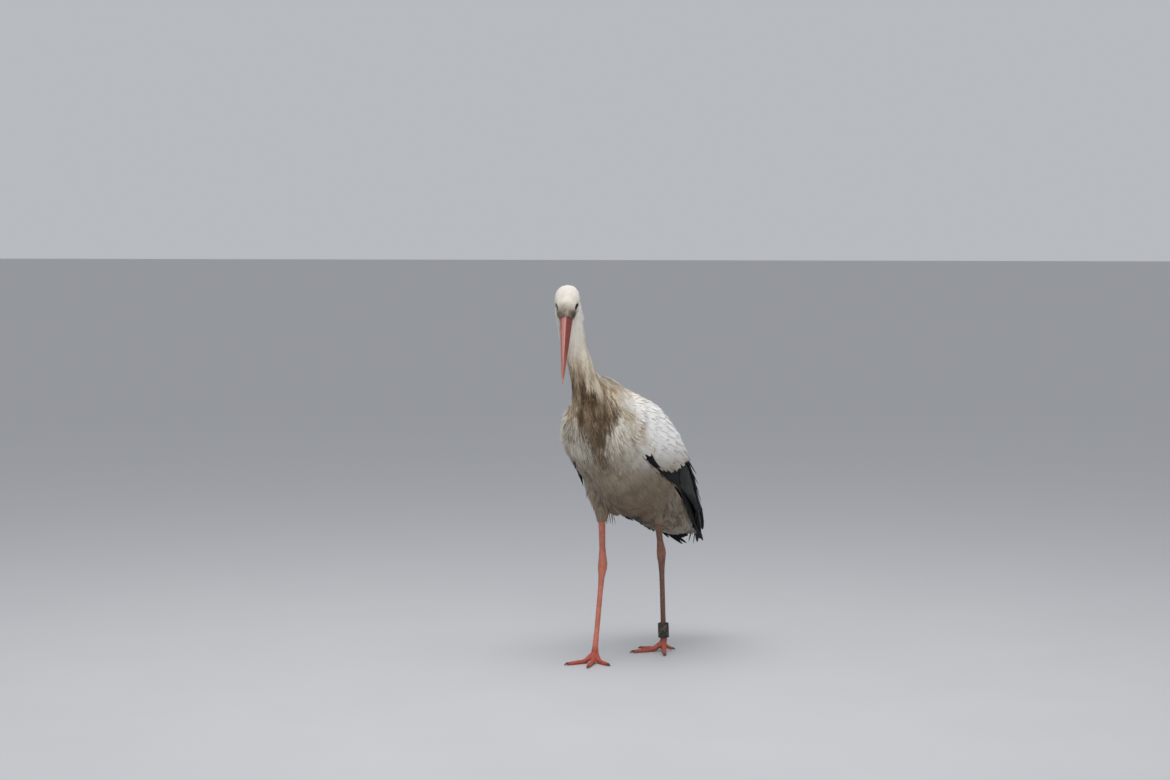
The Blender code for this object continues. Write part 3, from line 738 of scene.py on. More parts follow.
WINGS = {}
for side, sign in (("left", 1), ("right", -1)):
    coverts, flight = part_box(f"wing_{side}_coverts"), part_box(f"wing_{side}_flight")
    shoulder = np.array((sign * 0.10, coverts[0][1], coverts[1][2] - 0.030))
    span = np.array((0.0, flight[1][1] - shoulder[1], flight[0][2] - shoulder[2]))
    down_wing = unit(span)
    WINGS[side] = {"sign": sign, "shoulder": shoulder, "down": down_wing,
                   "span": float(np.linalg.norm(span)),
                   "back": np.array((0.0, -down_wing[2], down_wing[1]))}


def wing_place(side, points):
    """How far points lie down the folded wing from the shoulder, and how far towards the back."""
    from_shoulder = points - WINGS[side]["shoulder"]
    return from_shoulder @ WINGS[side]["down"], from_shoulder @ WINGS[side]["back"]


def white_ends(back):
    """How far down the wing the white coverts reach, from its lower edge to the bird's back."""
    return np.interp(back, (-0.055, -0.047, -0.043, -0.040, -0.027, -0.010, 0.020, 0.040, 0.10, 0.16),
                     (0.090, 0.120, 0.180, 0.200, 0.207, 0.235, 0.262, 0.290, 0.315, 0.335))


on_wing = near_nodes("wing_left_coverts", "wing_left_flight", "wing_right_coverts", "wing_right_flight")
wing_down, wing_back = np.where(skin_points[:, 0] > 0, wing_place("left", skin_points),
                                wing_place("right", skin_points))
# How far towards the back the black of the lower edge reaches, as it goes down the wing.
LEFT_BLACK = (0.112, 0.122, 0.17, 0.215), (-0.050, -0.029, -0.037, -0.046)
RIGHT_BLACK = (0.140, 0.152, 0.30), (-0.050, -0.020, -0.010)
black_edge = np.where(skin_points[:, 0] > 0, np.interp(wing_down, *LEFT_BLACK),
                      np.interp(wing_down, *RIGHT_BLACK)) - wing_back
past_white = np.maximum(wing_down - white_ends(wing_back), black_edge)
keep_on_skin("dark", on_wing * ease(past_white, -0.004, 0.004))


def plume_share():
    """The long feathers of the foreneck: a wedge down the front that hangs a little to the bird's left."""
    height = skin_points[:, 2]
    middle = np.interp(height, (0.44, 0.52, 0.60, 0.67), (0.031, 0.028, 0.022, 0.004))
    half = np.interp(height, (0.44, 0.48, 0.52, 0.60, 0.66, 0.70),
                     (0.008, 0.018, 0.032, 0.050, 0.048, 0.020))
    side = np.abs(skin_points[:, 0] - middle)
    forward = ease(-skin_normals[:, 1], -0.35, 0.10)
    forward *= ease(skin_points[:, 1], -0.105, -0.130)
    share = ease(side, half + 0.008, half - 0.006) * forward
    return share * ease(height, 0.49, 0.52) * ease(height, 0.71, 0.68)


plume_zone = plume_share()
to_tip = np.array(PLUME_TIP) - skin_points
to_tip /= np.linalg.norm(to_tip, axis=1)[:, None]
PLUME_PULL = 0.7  # how far the plume's feathers turn to its tip
lie = lie * (1 - PLUME_PULL * plume_zone[:, None]) + to_tip * PLUME_PULL * plume_zone[:, None]
keep_on_skin("lie", laid_flat(lie))
keep_on_skin("up", skin_normals)
to_eye = np.minimum(*(np.linalg.norm(skin_points - eye_points[side], axis=1) for side in SIDES))
at_shoulder = on_wing * ease(wing_down, 0.06, -0.01)
at_tail = ease(skin_points[:, 1], 0.21, 0.27) * (1 - on_wing)
underneath = -skin_normals[:, 2]
scale = (0.6 + 0.4 * ease(body_way, 0.0, HEAD_END)) * (0.42 + 0.58 * ease(to_eye, 0.012, 0.030))
scale = scale * (1 - 0.45 * at_shoulder) * (1 - 0.5 * at_tail) * (1 - 0.3 * ease(underneath, 0.5, 0.9))
scale = scale * (1 - 0.6 * ease(underneath, 0.45, 0.75) * ease(thigh_share, 0.05, 0.25))
keep_on_skin("scale", scale)
keep_on_skin("tone", np.full(len(skin_points), 0.5))


def spot(graph, place, centre, near, far):
    """1 within a distance of a place on the bird, fading to 0 further off."""
    return graph.ease(graph.vector("DISTANCE", place, tuple(map(float, centre)), "Value"), far, near)


def plumage(name, **constants):
    """White feathers with the bird's own stains, and painted shade on the top of the head and under the
    belly.
    Skin and coat share them by their place on the body.
    """
    graph = material_graph(name, **constants)
    place = own_place(graph)
    split = graph.add("ShaderNodeSeparateXYZ", sockets={0: place})
    x, y, z = split, graph.output(split, "Y"), graph.output(split, "Z")
    tone, dark = kept_value(graph, "tone"), kept_value(graph, "dark")
    streak = graph.ease(noise(graph, stretched(graph, place, (75, 75, 13)), 1.0, 3.0), 0.32, 0.68)
    patchy = graph.ease(noise(graph, place, 16.0, 4.0), 0.3, 0.7)
    lock = tone * 0.65 + streak * 0.35
    split_lock = graph.ease(lock, 0.30, 0.72)

    def region(share, colour, light, dirty, locks):
        """Lays a part's colours on: dirty in the lower locks, light in the upper."""
        return blend(graph, share, colour, blend(graph, locks, srgb(dirty), srgb(light)))

    colour = blend(graph, tone * 0.35, srgb("f2f1ee"), srgb("dcd8cf"))
    front_side = graph.ease(y, -0.06, -0.13)
    cream = front_side * graph.ease(z, 0.62, 0.56)
    colour = region(cream * 0.8, colour, "d9d1c1", "a5977f", split_lock)
    axis = slope(graph, z, 0.58, 0.70, -0.125, -0.190)
    foreneck = graph.ease(y - axis, 0.030, -0.010)
    neck = graph.ease(z, 0.60, 0.66) * graph.ease(y, -0.02, -0.12)
    colour = region(neck, colour, "f1ece3", "ddd4c6", lock)
    # Painted shade: the top of the head is painted greyer, against the overhead lamp's light.
    colour = blend(graph, graph.ease(z, 0.850, 0.875) * 0.8, colour, srgb("d9d5cc"))
    by_neck = spot(graph, place, (0.0, -0.185, 0.66), 0.075, 0.125)
    throat = graph.ease(z, NECK_TOP - 0.03, NECK_TOP - 0.19) * by_neck * (0.35 + 0.65 * foreneck)
    colour = region(throat * 0.95, colour, "ddcfb6", "b09a7c", split_lock)
    scruff = graph.ease(z, 0.675, 0.635) * by_neck
    colour = region(scruff * 0.9, colour, "dacdb8", "a88f72", split_lock)
    gullet = graph.ease(z, 0.715, 0.670) * graph.ease(z, 0.600, 0.640)
    gullet = gullet * graph.ease(x, 0.016, 0.0) * foreneck
    colour = region(gullet * 0.8, colour, "b09a7c", "7d674d", split_lock)
    tan = spot(graph, place, (0.02, -0.05, 0.65), 0.03, 0.11) * graph.ease(z, 0.58, 0.62)
    colour = region(tan * 0.55, colour, "dcc7af", "b89c7e", lock)
    # The face is smudged by the bill's root, and dark skin shows through round the eyes.
    face = spot(graph, place, bill_root, 0.017, 0.040) * graph.ease(z, 0.77, 0.79)
    colour = region(face * (0.6 + 0.4 * streak), colour, "ab9985", "766351", split_lock)
    for reach, near, far in ((-1.1, 0.005, 0.014), (0.0, 0.003, 0.012), (1.1, 0.006, 0.016),
                             (1.9, 0.004, 0.014)):
        where = bill_root - head_ahead * 0.004 + head_left * reach * 0.011 + head_up * 0.003
        smudge = spot(graph, place, where, near, far) * (0.5 + 0.5 * patchy)
        colour = blend(graph, smudge * 0.75, colour, srgb("4b3b30"))
    for side in SIDES:
        for reach, size in ((-0.002, 0.0058), (0.003, 0.0060), (0.008, 0.0048)):
            where = eye_points[side] + reach * (head_ahead * 0.9 + head_up * 0.44)
            mark = spot(graph, place, where, size - 0.002, size + 0.001)
            colour = blend(graph, mark * 0.95, colour, srgb("14110f"))

    # A wet, muddy bib hangs down the foreneck and leans to the bird's left.
    middle = slope(graph, z, 0.600, 0.645, 0.032, 0.009)
    widening = slope(graph, z, 0.58, 0.65, 0.040, 0.012)
    narrowing = slope(graph, z, 0.45, 0.60, 0.006, 0.046)
    half = graph.sum("MINIMUM", widening, narrowing)
    aside = graph.sum("ABSOLUTE", x - middle) - half + (lock - 0.5) * 0.024
    wet = graph.ease(aside, 0.012, -0.014) * graph.ease(z, 0.43, 0.46)
    wet = wet * graph.ease(z, 0.685, 0.650) * foreneck
    colour = region(wet * 0.95, colour, "87725a", "564531", split_lock)
    core = graph.ease(aside, -0.004, -0.022) * graph.ease(z, 0.57, 0.62)
    core = core * graph.ease(z, 0.67, 0.64) * foreneck
    colour = region(core * 0.85, colour, "735b43", "3f3022", split_lock)

    # The belly is brown below, partly a stain and partly painted shade, with painted shade between the legs
    # and darker still under the tail; the shoulder has ochre stains.
    # Partly a real stain and partly painted shade: the lower body is painted darker brown.
    under = graph.ease(z, 0.53, 0.42) * graph.ease(y, 0.30, 0.16)
    colour = region(under * 0.9, colour, "9d8d78", "66573f", patchy * 0.5 + tone * 0.5)
    muddy = spot(graph, place, (0.03, 0.0, 0.37), 0.03, 0.15)
    colour = region(muddy * 0.75, colour, "7b6650", "4a3a29", patchy * 0.4 + tone * 0.6)
    # Painted shade: two dark patches under the belly, between the legs.
    for centre, reach in (((0.000, 0.060, 0.300), 0.055), ((0.000, 0.105, 0.285), 0.055)):
        colour = blend(graph, spot(graph, place, centre, 0.020, reach) * 0.85, colour, srgb("1f1b17"))
    vent = graph.ease(z, 0.40, 0.34) * graph.ease(y, 0.10, 0.16)
    colour = region(vent * 0.8, colour, "93856f", "544838", split_lock)
    colour = blend(graph, graph.ease(y, 0.255, 0.300) * graph.ease(z, 0.34, 0.30) * 0.6, colour,
                   srgb("2f2a25"))
    for centre, reach in (((0.086, -0.132, 0.583), 0.032), ((0.110, -0.100, 0.545), 0.026),
                          ((0.112, -0.090, 0.520), 0.024), ((0.106, -0.060, 0.497), 0.020)):
        stain = spot(graph, place, centre, 0.0, reach) * (0.35 + 0.65 * streak)
        colour = blend(graph, stain * 0.8, colour, srgb("9c8250"))
    colour = blend(graph, dark, colour, srgb("0c0c0d"))
    feed(graph, "Base Color", colour)
    return graph


white = plumage("white feathers", Roughness=0.85, Sheen_Weight=0.06, Specular_IOR_Level=0.25)
skin.data.materials.append(white.material)


skin_tree = BVHTree.FromPolygons([Vector(point) for point in skin_points],
                                 [list(face.vertices) for face in skin.data.polygons])
open_air = np.array([skin_tree.ray_cast(Vector(point + normal * 0.002), Vector(normal), 0.030)[0] is None
                     for point, normal in zip(skin_points, skin_normals)]).astype(float)
open_air = ease(spread(open_air, 6), 0.55, 0.85)  # 0 in the clefts under the wings, where no feather shows
on_body = ease(body_way, NECK_END - 0.02, NECK_END) * (1 - on_wing) * open_air
on_wing = on_wing * open_air
upper = ease(skin_normals[:, 2], 0.0, 0.3)
front = ease(skin_points[:, 1], 0.02, -0.04)
shoulders = ease(skin_points[:, 1], -0.02, -0.06)
breast_zone = on_body * np.maximum(1 - upper, shoulders)
breast_zone *= front * ease(skin_points[:, 2], 0.44, 0.50) * (1 - plume_zone * 0.6)
high_up = ease(skin_points[:, 2], 0.42, 0.46)
mantle_zone = on_body * upper * (1 - shoulders) * high_up
wing_white = on_wing * ease(wing_down - white_ends(wing_back), -0.014, -0.018)
wing_white = wing_white * ease(black_edge, -0.001, -0.005)
belly_zone = on_body * (1 - upper * high_up) * (1 - front * ease(skin_points[:, 2], 0.44, 0.50))
belly_zone *= (1 - ease(thigh_share, 0.1, 0.3)) * ease(skin_points[:, 1], 0.292, 0.280)
belly_zone *= ease(from_place((0.016, 0.046, 0.320)), 0.016, 0.030)
belly_zone *= ease(from_place((0.034, 0.031, 0.336)), 0.012, 0.022)
# The folds between neck, breast and wings are covered by the shawl alone.
armpit = ease(from_place((0.046, -0.155, 0.615)), 0.022, 0.036)
point_of_wing = ease(from_place((-0.055, -0.149, 0.604)), 0.010, 0.018)
point_of_wing *= ease(from_place((0.053, -0.154, 0.600)), 0.010, 0.018)

EYE_SLANT = math.radians(26)  # how far the line through an eye's corners turns up from the bill's
BARE_ROUND_EYE = (0.0155, 0.0085, 0.0078, 0.0066)  # ahead of an eye, behind, above and below
bare_of_eyes = np.ones(len(skin_points))
for side in SIDES:
    from_eye = skin_points - eye_points[side]
    ahead = from_eye @ (head_ahead * math.cos(EYE_SLANT) + head_up * math.sin(EYE_SLANT))
    above = from_eye @ (head_up * math.cos(EYE_SLANT) - head_ahead * math.sin(EYE_SLANT))
    beside = np.abs(from_eye @ head_left) < 0.02
    reach = np.sqrt(sum(np.clip(way, 0, None) ** 2 / size ** 2
                        for way, size in zip((ahead, -ahead, above, -above), BARE_ROUND_EYE)))
    bare_of_eyes *= 1 - beside * ease(reach, 1.05, 0.95)

FINE = {"Thickness": 0.00015, "Rows": 3}
LOOSE = {"Thickness": 0.00018, "Rows": 4, "Lock_Size": 0.014, "Locks": 0.7}
SMOOTH = {"Thickness": 0.0002, "Rows": 6, "Bluntness": 4.0, "Waywardness": 0.08, "Spread_of_Sizes": 0.15,
          "Locks": 0.3}
head_zone = ease(body_way, HEAD_END + 0.008, HEAD_END - 0.008) * bare_of_eyes
head_coat = strewn_coat("head_coat", head_zone, FINE, Spacing=0.00108, Length=0.0100, Width=0.0010,
                        Depth=0.0008, Bluntness=4.0, Lift=0.0014, Waywardness=0.18)
neck_share = ease(body_way, HEAD_END - 0.012, HEAD_END + 0.004)
neck_share = neck_share * ease(body_way, NECK_END + 0.01, NECK_END - 0.02)
lower_neck = ease(skin_points[:, 2], 0.715, 0.685)
neck_coat = strewn_coat("neck_coat", neck_share * (1 - lower_neck), LOOSE, Spacing=0.0017, Length=0.022,
                        Width=0.0015, Depth=0.0010, Bluntness=3.5, Lift=0.0020, Locks=0.5, Fluff=0.0002,
                        Waywardness=0.16)
ruff_coat = strewn_coat("ruff_coat", neck_share * lower_neck * armpit, LOOSE, Spacing=0.0018, Length=0.036,
                        Width=0.0013, Depth=0.0015, Rows=5, Bluntness=3.2, Lift=0.0022, Waywardness=0.3,
                        Fluff=0.0012, Seed=9)
plume = strewn_coat("foreneck_plume", plume_zone * armpit, LOOSE, Spacing=0.0024, Length=0.070,
                    Width=0.0011, Thickness=0.0003, Depth=0.006, Rows=7, Waywardness=0.2, Stiffness=0.3,
                    Softness=0.7, Fluff=0.004, Let_Go=0.7, Seed=11)
breast_coat = strewn_coat("breast_coat", breast_zone * armpit, LOOSE, Spacing=0.0022, Length=0.034,
                          Width=0.0016, Depth=0.0013, Lift=0.0016, Waywardness=0.2, Bluntness=3.2,
                          Fluff=0.0006, Seed=13)
belly_coat = strewn_coat("belly_coat", belly_zone, LOOSE, Spacing=0.0026, Length=0.036, Width=0.0023,
                         Depth=0.0012, Rows=3, Bluntness=3.2, Lift=0.0016, Waywardness=0.25, Fluff=0.0015,
                         Seed=17)
mantle_coat = strewn_coat("mantle_coat", mantle_zone, SMOOTH, Spacing=0.0048, Length=0.042, Width=0.0056,
                          Depth=0.0018, Lift=0.0014, Seed=19)
wing_coverts = strewn_coat("wing_coverts", wing_white * (1 - shoulders), SMOOTH, Spacing=0.0045,
                           Length=0.040, Width=0.0056, Depth=0.0018, Stiffness=0.6, Lift=0.0024, Seed=23)
lesser_coverts = strewn_coat("lesser_coverts", wing_white * shoulders * point_of_wing, SMOOTH,
                             Spacing=0.0036, Length=0.030, Width=0.0038, Depth=0.0016, Rows=4,
                             Waywardness=0.12, Lift=0.0020, Seed=37)
thigh_coat = strewn_coat("thigh_coat", ease(thigh_share, 0.05, 0.25) * on_body, LOOSE, Spacing=0.0021,
                         Length=0.022, Width=0.0011, Depth=0.0016, Waywardness=0.25, Fluff=0.0004, Seed=29)

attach(skin, "root")
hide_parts(*FLESH)


# ---------------------------------------------------------------- flight feathers and tail
# The black feathers of a folded wing lie on each other like a closed fan: primaries undermost, then the
# secondaries, the broad tertials by the back, and over their roots the greater coverts. The tail is white.
# Each is a cambered vane with a shaft, placed one by one from its root to its tip down the wing.
feather_luck = random.Random(41)


def wing_spot(side, down, back):
    """The place on a folded wing's outside, and the way it faces there."""
    wing = WINGS[side]
    place = wing["shoulder"] + wing["down"] * down + wing["back"] * back
    start = Vector((wing["sign"] * 0.3, place[1], place[2]))
    hit = skin_tree.ray_cast(start, Vector((-wing["sign"], 0, 0)))
    if hit[0] is None or hit[0].x * wing["sign"] < -0.02:
        hit = skin_tree.find_nearest(Vector((wing["sign"] * 0.06, place[1], place[2])))
    return hit[0], hit[1]


def placed_feathers(name, feathers, finish, **sizes):
    """Feathers given one by one: root, tip, facing, width, layer, roll, and an optional stiffness."""
    mesh = bpy.data.meshes.new(name)
    mesh.from_pydata([feather["root"] for feather in feathers], [], [])
    obj = shown(name, mesh)
    spans = [feather["tip"] - feather["root"] for feather in feathers]
    told = {"length": [span.length for span in spans], "aim": [span.normalized() for span in spans],
            "upright": [feather["facing"] for feather in feathers]}
    for label, usual in (("width", 0.01), ("layer", 0.0), ("roll", 0.0), ("stiffness", 1.0),
                         ("fluff", 0.0)):
        told[label] = [feather.get(label, usual) for feather in feathers]
    told["tone"] = [feather.get("tone", feather_luck.random()) for feather in feathers]
    for label, values in told.items():
        keep_on(obj, label, np.array(values))
    usual = {"Skin": skin, "Guide": skin, "Rows": 14, "Sides": 8, "Bluntness": 6.0, "Root_Width": 0.45,
             "Thickness": 0.0005, "Camber": 0.0008, "Depth": 0.0006, "Hug": 1.0, "Let_Go": 1.0,
             "Softness": 0.3, "Seed": 5}
    return grow(obj, PLACED_FEATHERS, **{**usual, "Finish": finish, **sizes})


def shawl_guide():
    """A sheet of straight lines from the neck down to the shoulders, over the hollow between. Past its last
    edge it goes on over the skin, so that the feathers that start on it have something to lie on."""
    columns, steps, beyond = [], 14, 10
    for turn in range(-64, 149, 4):
        out = Vector((math.sin(math.radians(turn)), math.cos(math.radians(turn)), 0))
        axis = Vector((0.0, -0.172, 0.674))
        start = skin_tree.ray_cast(axis + out * 0.09, -out)[0]
        end = None
        for reach in np.arange(0.112, 0.030, -0.006):
            if end is None or end.z < 0.57:
                far = axis + out * float(reach)
                end = skin_tree.ray_cast(Vector((far.x, far.y, 0.8)), Vector((0, 0, -1)))[0]
        if start is not None and end is not None and end.z > 0.55:
            bulge = 0.007 * float(ease(abs(turn), 130, 90))
            line = [start + (end - start) * (step / steps)
                    + Vector((0, 0, bulge * math.sin(math.pi * step / steps))) for step in range(steps + 1)]
            settled = float(ease(-turn, 40, 64))
            line = [point.lerp(skin_tree.find_nearest(point)[0], settled) for point in line]
            for _ in range(beyond):
                further = line[-1] + (line[-1] - line[-2]).normalized() * 0.006
                line.append(skin_tree.find_nearest(further)[0])
            columns.append(line)
    rows = steps + beyond + 1
    points = [tuple(point) for column in columns for point in column]
    faces = [[at * rows + step, (at + 1) * rows + step, (at + 1) * rows + step + 1, at * rows + step + 1]
             for at in range(len(columns) - 1) for step in range(rows - 1)]
    mesh = bpy.data.meshes.new("shawl guide")
    mesh.from_pydata(points, [], faces)
    guide = shown("shawl guide", mesh)
    if np.mean(vertex_array(mesh, "normal")[:, 2]) < 0:
        mesh.flip_normals()
    ways = [column[min(at + 1, rows - 1)] - column[max(at - 1, 0)]
            for column in columns for at in range(rows)]
    keep_on(guide, "lie", np.array([tuple(way.normalized()) for way in ways]))
    keep_on(guide, "up", vertex_array(mesh, "normal"))
    keep_on(guide, "scale", np.ones(len(points)))
    return guide, np.tile(np.arange(rows) / steps, len(columns))


sheet, within = shawl_guide()
shawl = strewn_coat("shawl", ease(within, 1.30, 0.90), LOOSE, guide=sheet, Spacing=0.0022, Length=0.034,
                    Width=0.0019, Depth=0.0012, Rows=5, Bluntness=3.2, Lift=0.0018, Waywardness=0.20,
                    Fluff=0.0008, Seed=31)
bpy.data.objects.remove(sheet)


def fan(side, count, first, last, width, layer, roll=0.10, last_width=None):
    """A row of wing feathers. The first and the last have root and tip as (down, back) pairs."""
    row = []
    for number in range(count):
        share = number / (count - 1)
        root, tip = (tuple(a + (b - a) * share for a, b in zip(start, end))
                     for start, end in zip(first, last))
        down_luck, back_luck = feather_luck.uniform(-0.006, 0.006), feather_luck.uniform(-0.0015, 0.0015)
        spot_root, facing = wing_spot(side, *root)
        spot_tip, _ = wing_spot(side, tip[0] + down_luck, tip[1] + back_luck)
        row.append({"root": spot_root, "tip": spot_tip, "facing": facing,
                    "width": width + ((last_width or width) - width) * share,
                    "layer": layer + 0.0014 * share, "roll": roll * WINGS[side]["sign"]})
    return row


black = material_graph("black feathers", Roughness=0.6, Specular_IOR_Level=0.12)
own = black.add("ShaderNodeUVMap", {"uv_map": "vane"}, output="UV")
own_split = black.add("ShaderNodeSeparateXYZ", sockets={0: own})
from_shaft = black.sum("ABSOLUTE", own_split - 0.5)
down_vane = black.output(own_split, "Y")
barbs = black.sum("SINE", (down_vane * 300 - from_shaft * 120))
barb_shade = noise(black, stretched(black, own, (3, 40, 1)), 1.0, 2.0)
tone = kept_value(black, "tone")
black_colour = blend(black, black.ease(barb_shade * 0.7 + tone * 0.4, 0.3, 0.8), srgb("0b0b0c"),
                     srgb("1a1a1c"))
black_colour = blend(black, black.ease(from_shaft, 0.035, 0.015), black_colour, srgb("040404"))
feed(black, "Base Color", black_colour)
feed(black, "Roughness", 0.5 + 0.2 * barb_shade)
relief(black, barbs, 0.25, 0.0004)

# Some feathers stand free of the closed wings: the ends past the tail, those that hang or show along the
# right wing's lower edge, and the ends that stand off the fan, given as down, back and out.
FREE_TIPS = {
    "left": ((0.012, 0.352, 0.236), (0.002, 0.350, 0.232), (-0.008, 0.345, 0.237), (0.020, 0.352, 0.248),
             (0.026, 0.350, 0.266)),
    "right": ((-0.010, 0.338, 0.234), (-0.020, 0.336, 0.231), (-0.030, 0.332, 0.237),
              (-0.040, 0.325, 0.246), (-0.050, 0.318, 0.247), (-0.060, 0.308, 0.252))}
HANGING_TIPS = ((-0.080, 0.162, 0.308), (-0.079, 0.172, 0.304), (-0.077, 0.184, 0.301),
                (-0.075, 0.196, 0.300), (-0.072, 0.207, 0.295), (-0.068, 0.218, 0.288),
                (-0.064, 0.230, 0.281), (-0.061, 0.245, 0.273), (-0.058, 0.260, 0.268),
                (-0.056, 0.275, 0.265))
LOWER_EDGE = [((-0.105, -0.088 + 0.007 * row, 0.518 - 0.009 * row),
               (-0.110, -0.050 + 0.007 * row, 0.462 - 0.009 * row))
              for row in range(8)]
LOWER_EDGE += [((-0.0535, -0.152, 0.500), (-0.0660, -0.122, 0.462)),
               ((-0.0560, -0.146, 0.486), (-0.0725, -0.104, 0.450)),
               ((-0.0585, -0.125, 0.470), (-0.0925, -0.058, 0.436)),
               ((-0.0725, -0.095, 0.455), (-0.106, -0.030, 0.425))]
STANDING_TIPS = ((0.340, 0.060, 0.006), (0.385, 0.050, 0.009), (0.415, 0.040, 0.007),
                 (0.450, 0.035, 0.004), (0.480, 0.028, 0.005), (0.515, 0.020, 0.006),
                 (0.550, 0.012, 0.005), (0.585, 0.006, 0.004))
for side in SIDES:
    reach, sign = WINGS[side]["span"], WINGS[side]["sign"]
    feathers = fan(side, 8, ((0.30, -0.018), (reach + 0.004, 0.002)),
                   ((0.26, 0.020), (reach - 0.13, 0.035)), 0.0085, 0.0010)
    feathers += fan(side, 16, ((0.115, -0.036), (0.30, -0.038)),
                    ((0.28, 0.035), (reach - 0.10, 0.020)), 0.0085, 0.0016, 0.16)
    feathers += fan(side, 10, ((0.27, 0.045), (0.47, 0.030)),
                    ((0.30, 0.130), (0.44, 0.085)), 0.0110, 0.0024, 0.16)
    feathers += fan(side, 24, ((0.105, -0.034), (0.190, -0.044)),
                    ((0.285, 0.120), (0.375, 0.095)), 0.0068, 0.0024)
    flight = placed_feathers(f"flight_feathers_{side}", feathers, black.material)
    free = []
    for number, tip in enumerate(FREE_TIPS[side]):
        root, facing = wing_spot(side, reach - 0.16 - 0.006 * number, -0.004 + 0.003 * number)
        free.append({"root": root, "tip": Vector(tip), "facing": facing, "width": 0.0068,
                     "roll": 0.1 * sign, "layer": 0.0003 * number})
    for down, back, out in STANDING_TIPS:
        root, facing = wing_spot(side, down - 0.12, back + 0.012)
        end, end_facing = wing_spot(side, down, back)
        free.append({"root": root, "tip": end + end_facing * out, "width": 0.0080, "layer": 0.0022,
                     "facing": (facing + end_facing).normalized(), "roll": 0.12 * sign})
    if side == "right":
        for tip in HANGING_TIPS:
            root = Vector(tip) + Vector((-0.006, -0.085, 0.064))
            free.append({"root": root, "tip": Vector(tip), "facing": Vector((-0.9, 0.0, -0.2)).normalized(),
                         "width": 0.0095})
        for root, tip in LOWER_EDGE:
            wide = 0.0080 if root[0] < -0.1 else 0.0050
            facing = Vector((-0.95, -0.2, -0.2)) if root[0] < -0.1 else Vector((-0.6, -0.6, -0.5))
            free.append({"root": Vector(root), "tip": Vector(tip), "width": wide,
                         "facing": facing.normalized()})
    loose = placed_feathers(f"wing_tips_{side}", free, black.material, Hug=0.0, Rows=10, Bluntness=3.5)

# The tail's twelve feathers spread under the wing tips, and a few pale tufts stand out of the flank.
rectrices = []
for number in range(12):
    share = (number - 5.5) / 5.5
    root = Vector((0.018 * share, 0.200, 0.322 - 0.004 * abs(share)))
    tip = Vector((0.042 * share, 0.306 - 0.012 * abs(share), 0.270 + 0.006 * (1 - abs(share))))
    facing = Vector((0.25 * share, 0.45, 0.85)).normalized()
    rectrices.append({"root": root, "tip": tip, "facing": facing, "width": 0.0090, "tone": 0.5,
                      "layer": 0.0006 * (number % 2)})
tail_feathers = placed_feathers("tail_feathers", rectrices, white.material, Hug=0.0, Rows=10, Bluntness=5.0)
tufts = []
for root, tip, count in (((0.092, 0.060, 0.410), (0.088, 0.098, 0.368), 10),
                         ((0.084, 0.058, 0.372), (0.077, 0.086, 0.342), 8)):
    for _ in range(count):
        stray = Vector([feather_luck.uniform(-0.004, 0.004) for _ in range(3)])
        end = Vector(tip) + Vector([feather_luck.uniform(-0.006, 0.006) for _ in range(3)])
        spot_root, facing = skin_tree.find_nearest(Vector(root) + stray)[:2]
        tufts.append({"root": spot_root, "tip": end, "facing": facing, "width": 0.0015, "layer": 0.0026,
                      "fluff": feather_luck.uniform(0.0, 0.003), "tone": feather_luck.uniform(0.8, 1.0)})
flank_tufts = placed_feathers("flank_tufts", tufts, white.material, Rows=7, Sides=4, Bluntness=3.0,
                              Thickness=0.0003, Softness=0.8)


def loose_lock(first, last, tips, count, width, length, facing, shares=(0.0,)):
    """Free feathers between two roots, each bound for a place between two tips; some start further down."""
    row = []
    for number in range(count):
        share = (number + feather_luck.uniform(0, 1)) / count
        start = Vector(first).lerp(Vector(last), share)
        end = Vector(tips[0]).lerp(Vector(tips[1]), share)
        for later in shares:
            root = start.lerp(end, later + feather_luck.uniform(0, 0.10))
            way = (end - start).normalized()
            way = (way + Vector([feather_luck.uniform(-0.08, 0.08) for _ in range(3)])).normalized()
            row.append({"root": root, "tip": root + way * length * feather_luck.uniform(0.75, 1.1),
                        "facing": Vector(facing).normalized(), "width": width,
                        "tone": feather_luck.uniform(0.5, 1.0),
                        "fluff": feather_luck.uniform(-0.001, 0.002)})
    return row


jowl = loose_lock((-0.0385, -0.255, 0.834), (-0.036, -0.212, 0.826),
                  ((-0.0365, -0.240, 0.764), (-0.039, -0.210, 0.740)),
                  20, 0.0016, 0.026, (-0.5, -0.85, 0.1), (0.0, 0.12, 0.24, 0.36, 0.48, 0.6))
jowl += loose_lock((-0.0385, -0.256, 0.833), (-0.027, -0.249, 0.816),
                   ((-0.0365, -0.240, 0.770), (-0.029, -0.238, 0.768)),
                   16, 0.0014, 0.022, (-0.48, -0.87, 0.1), (0.0, 0.12, 0.24, 0.36, 0.48, 0.6, 0.7))
undertail = loose_lock((0.058, 0.197, 0.347), (0.030, 0.215, 0.300),
                       ((0.036, 0.282, 0.312), (0.014, 0.300, 0.262)),
                       34, 0.0024, 0.038, (0.6, -0.6, -0.5), (0.0, 0.15, 0.3, 0.45, 0.6))
wisps = loose_lock((-0.052, -0.010, 0.345), (-0.034, 0.010, 0.342),
                   ((-0.050, -0.002, 0.312), (-0.032, 0.018, 0.308)),
                   9, 0.0008, 0.032, (0.4, -0.9, 0.0))
trousers = []
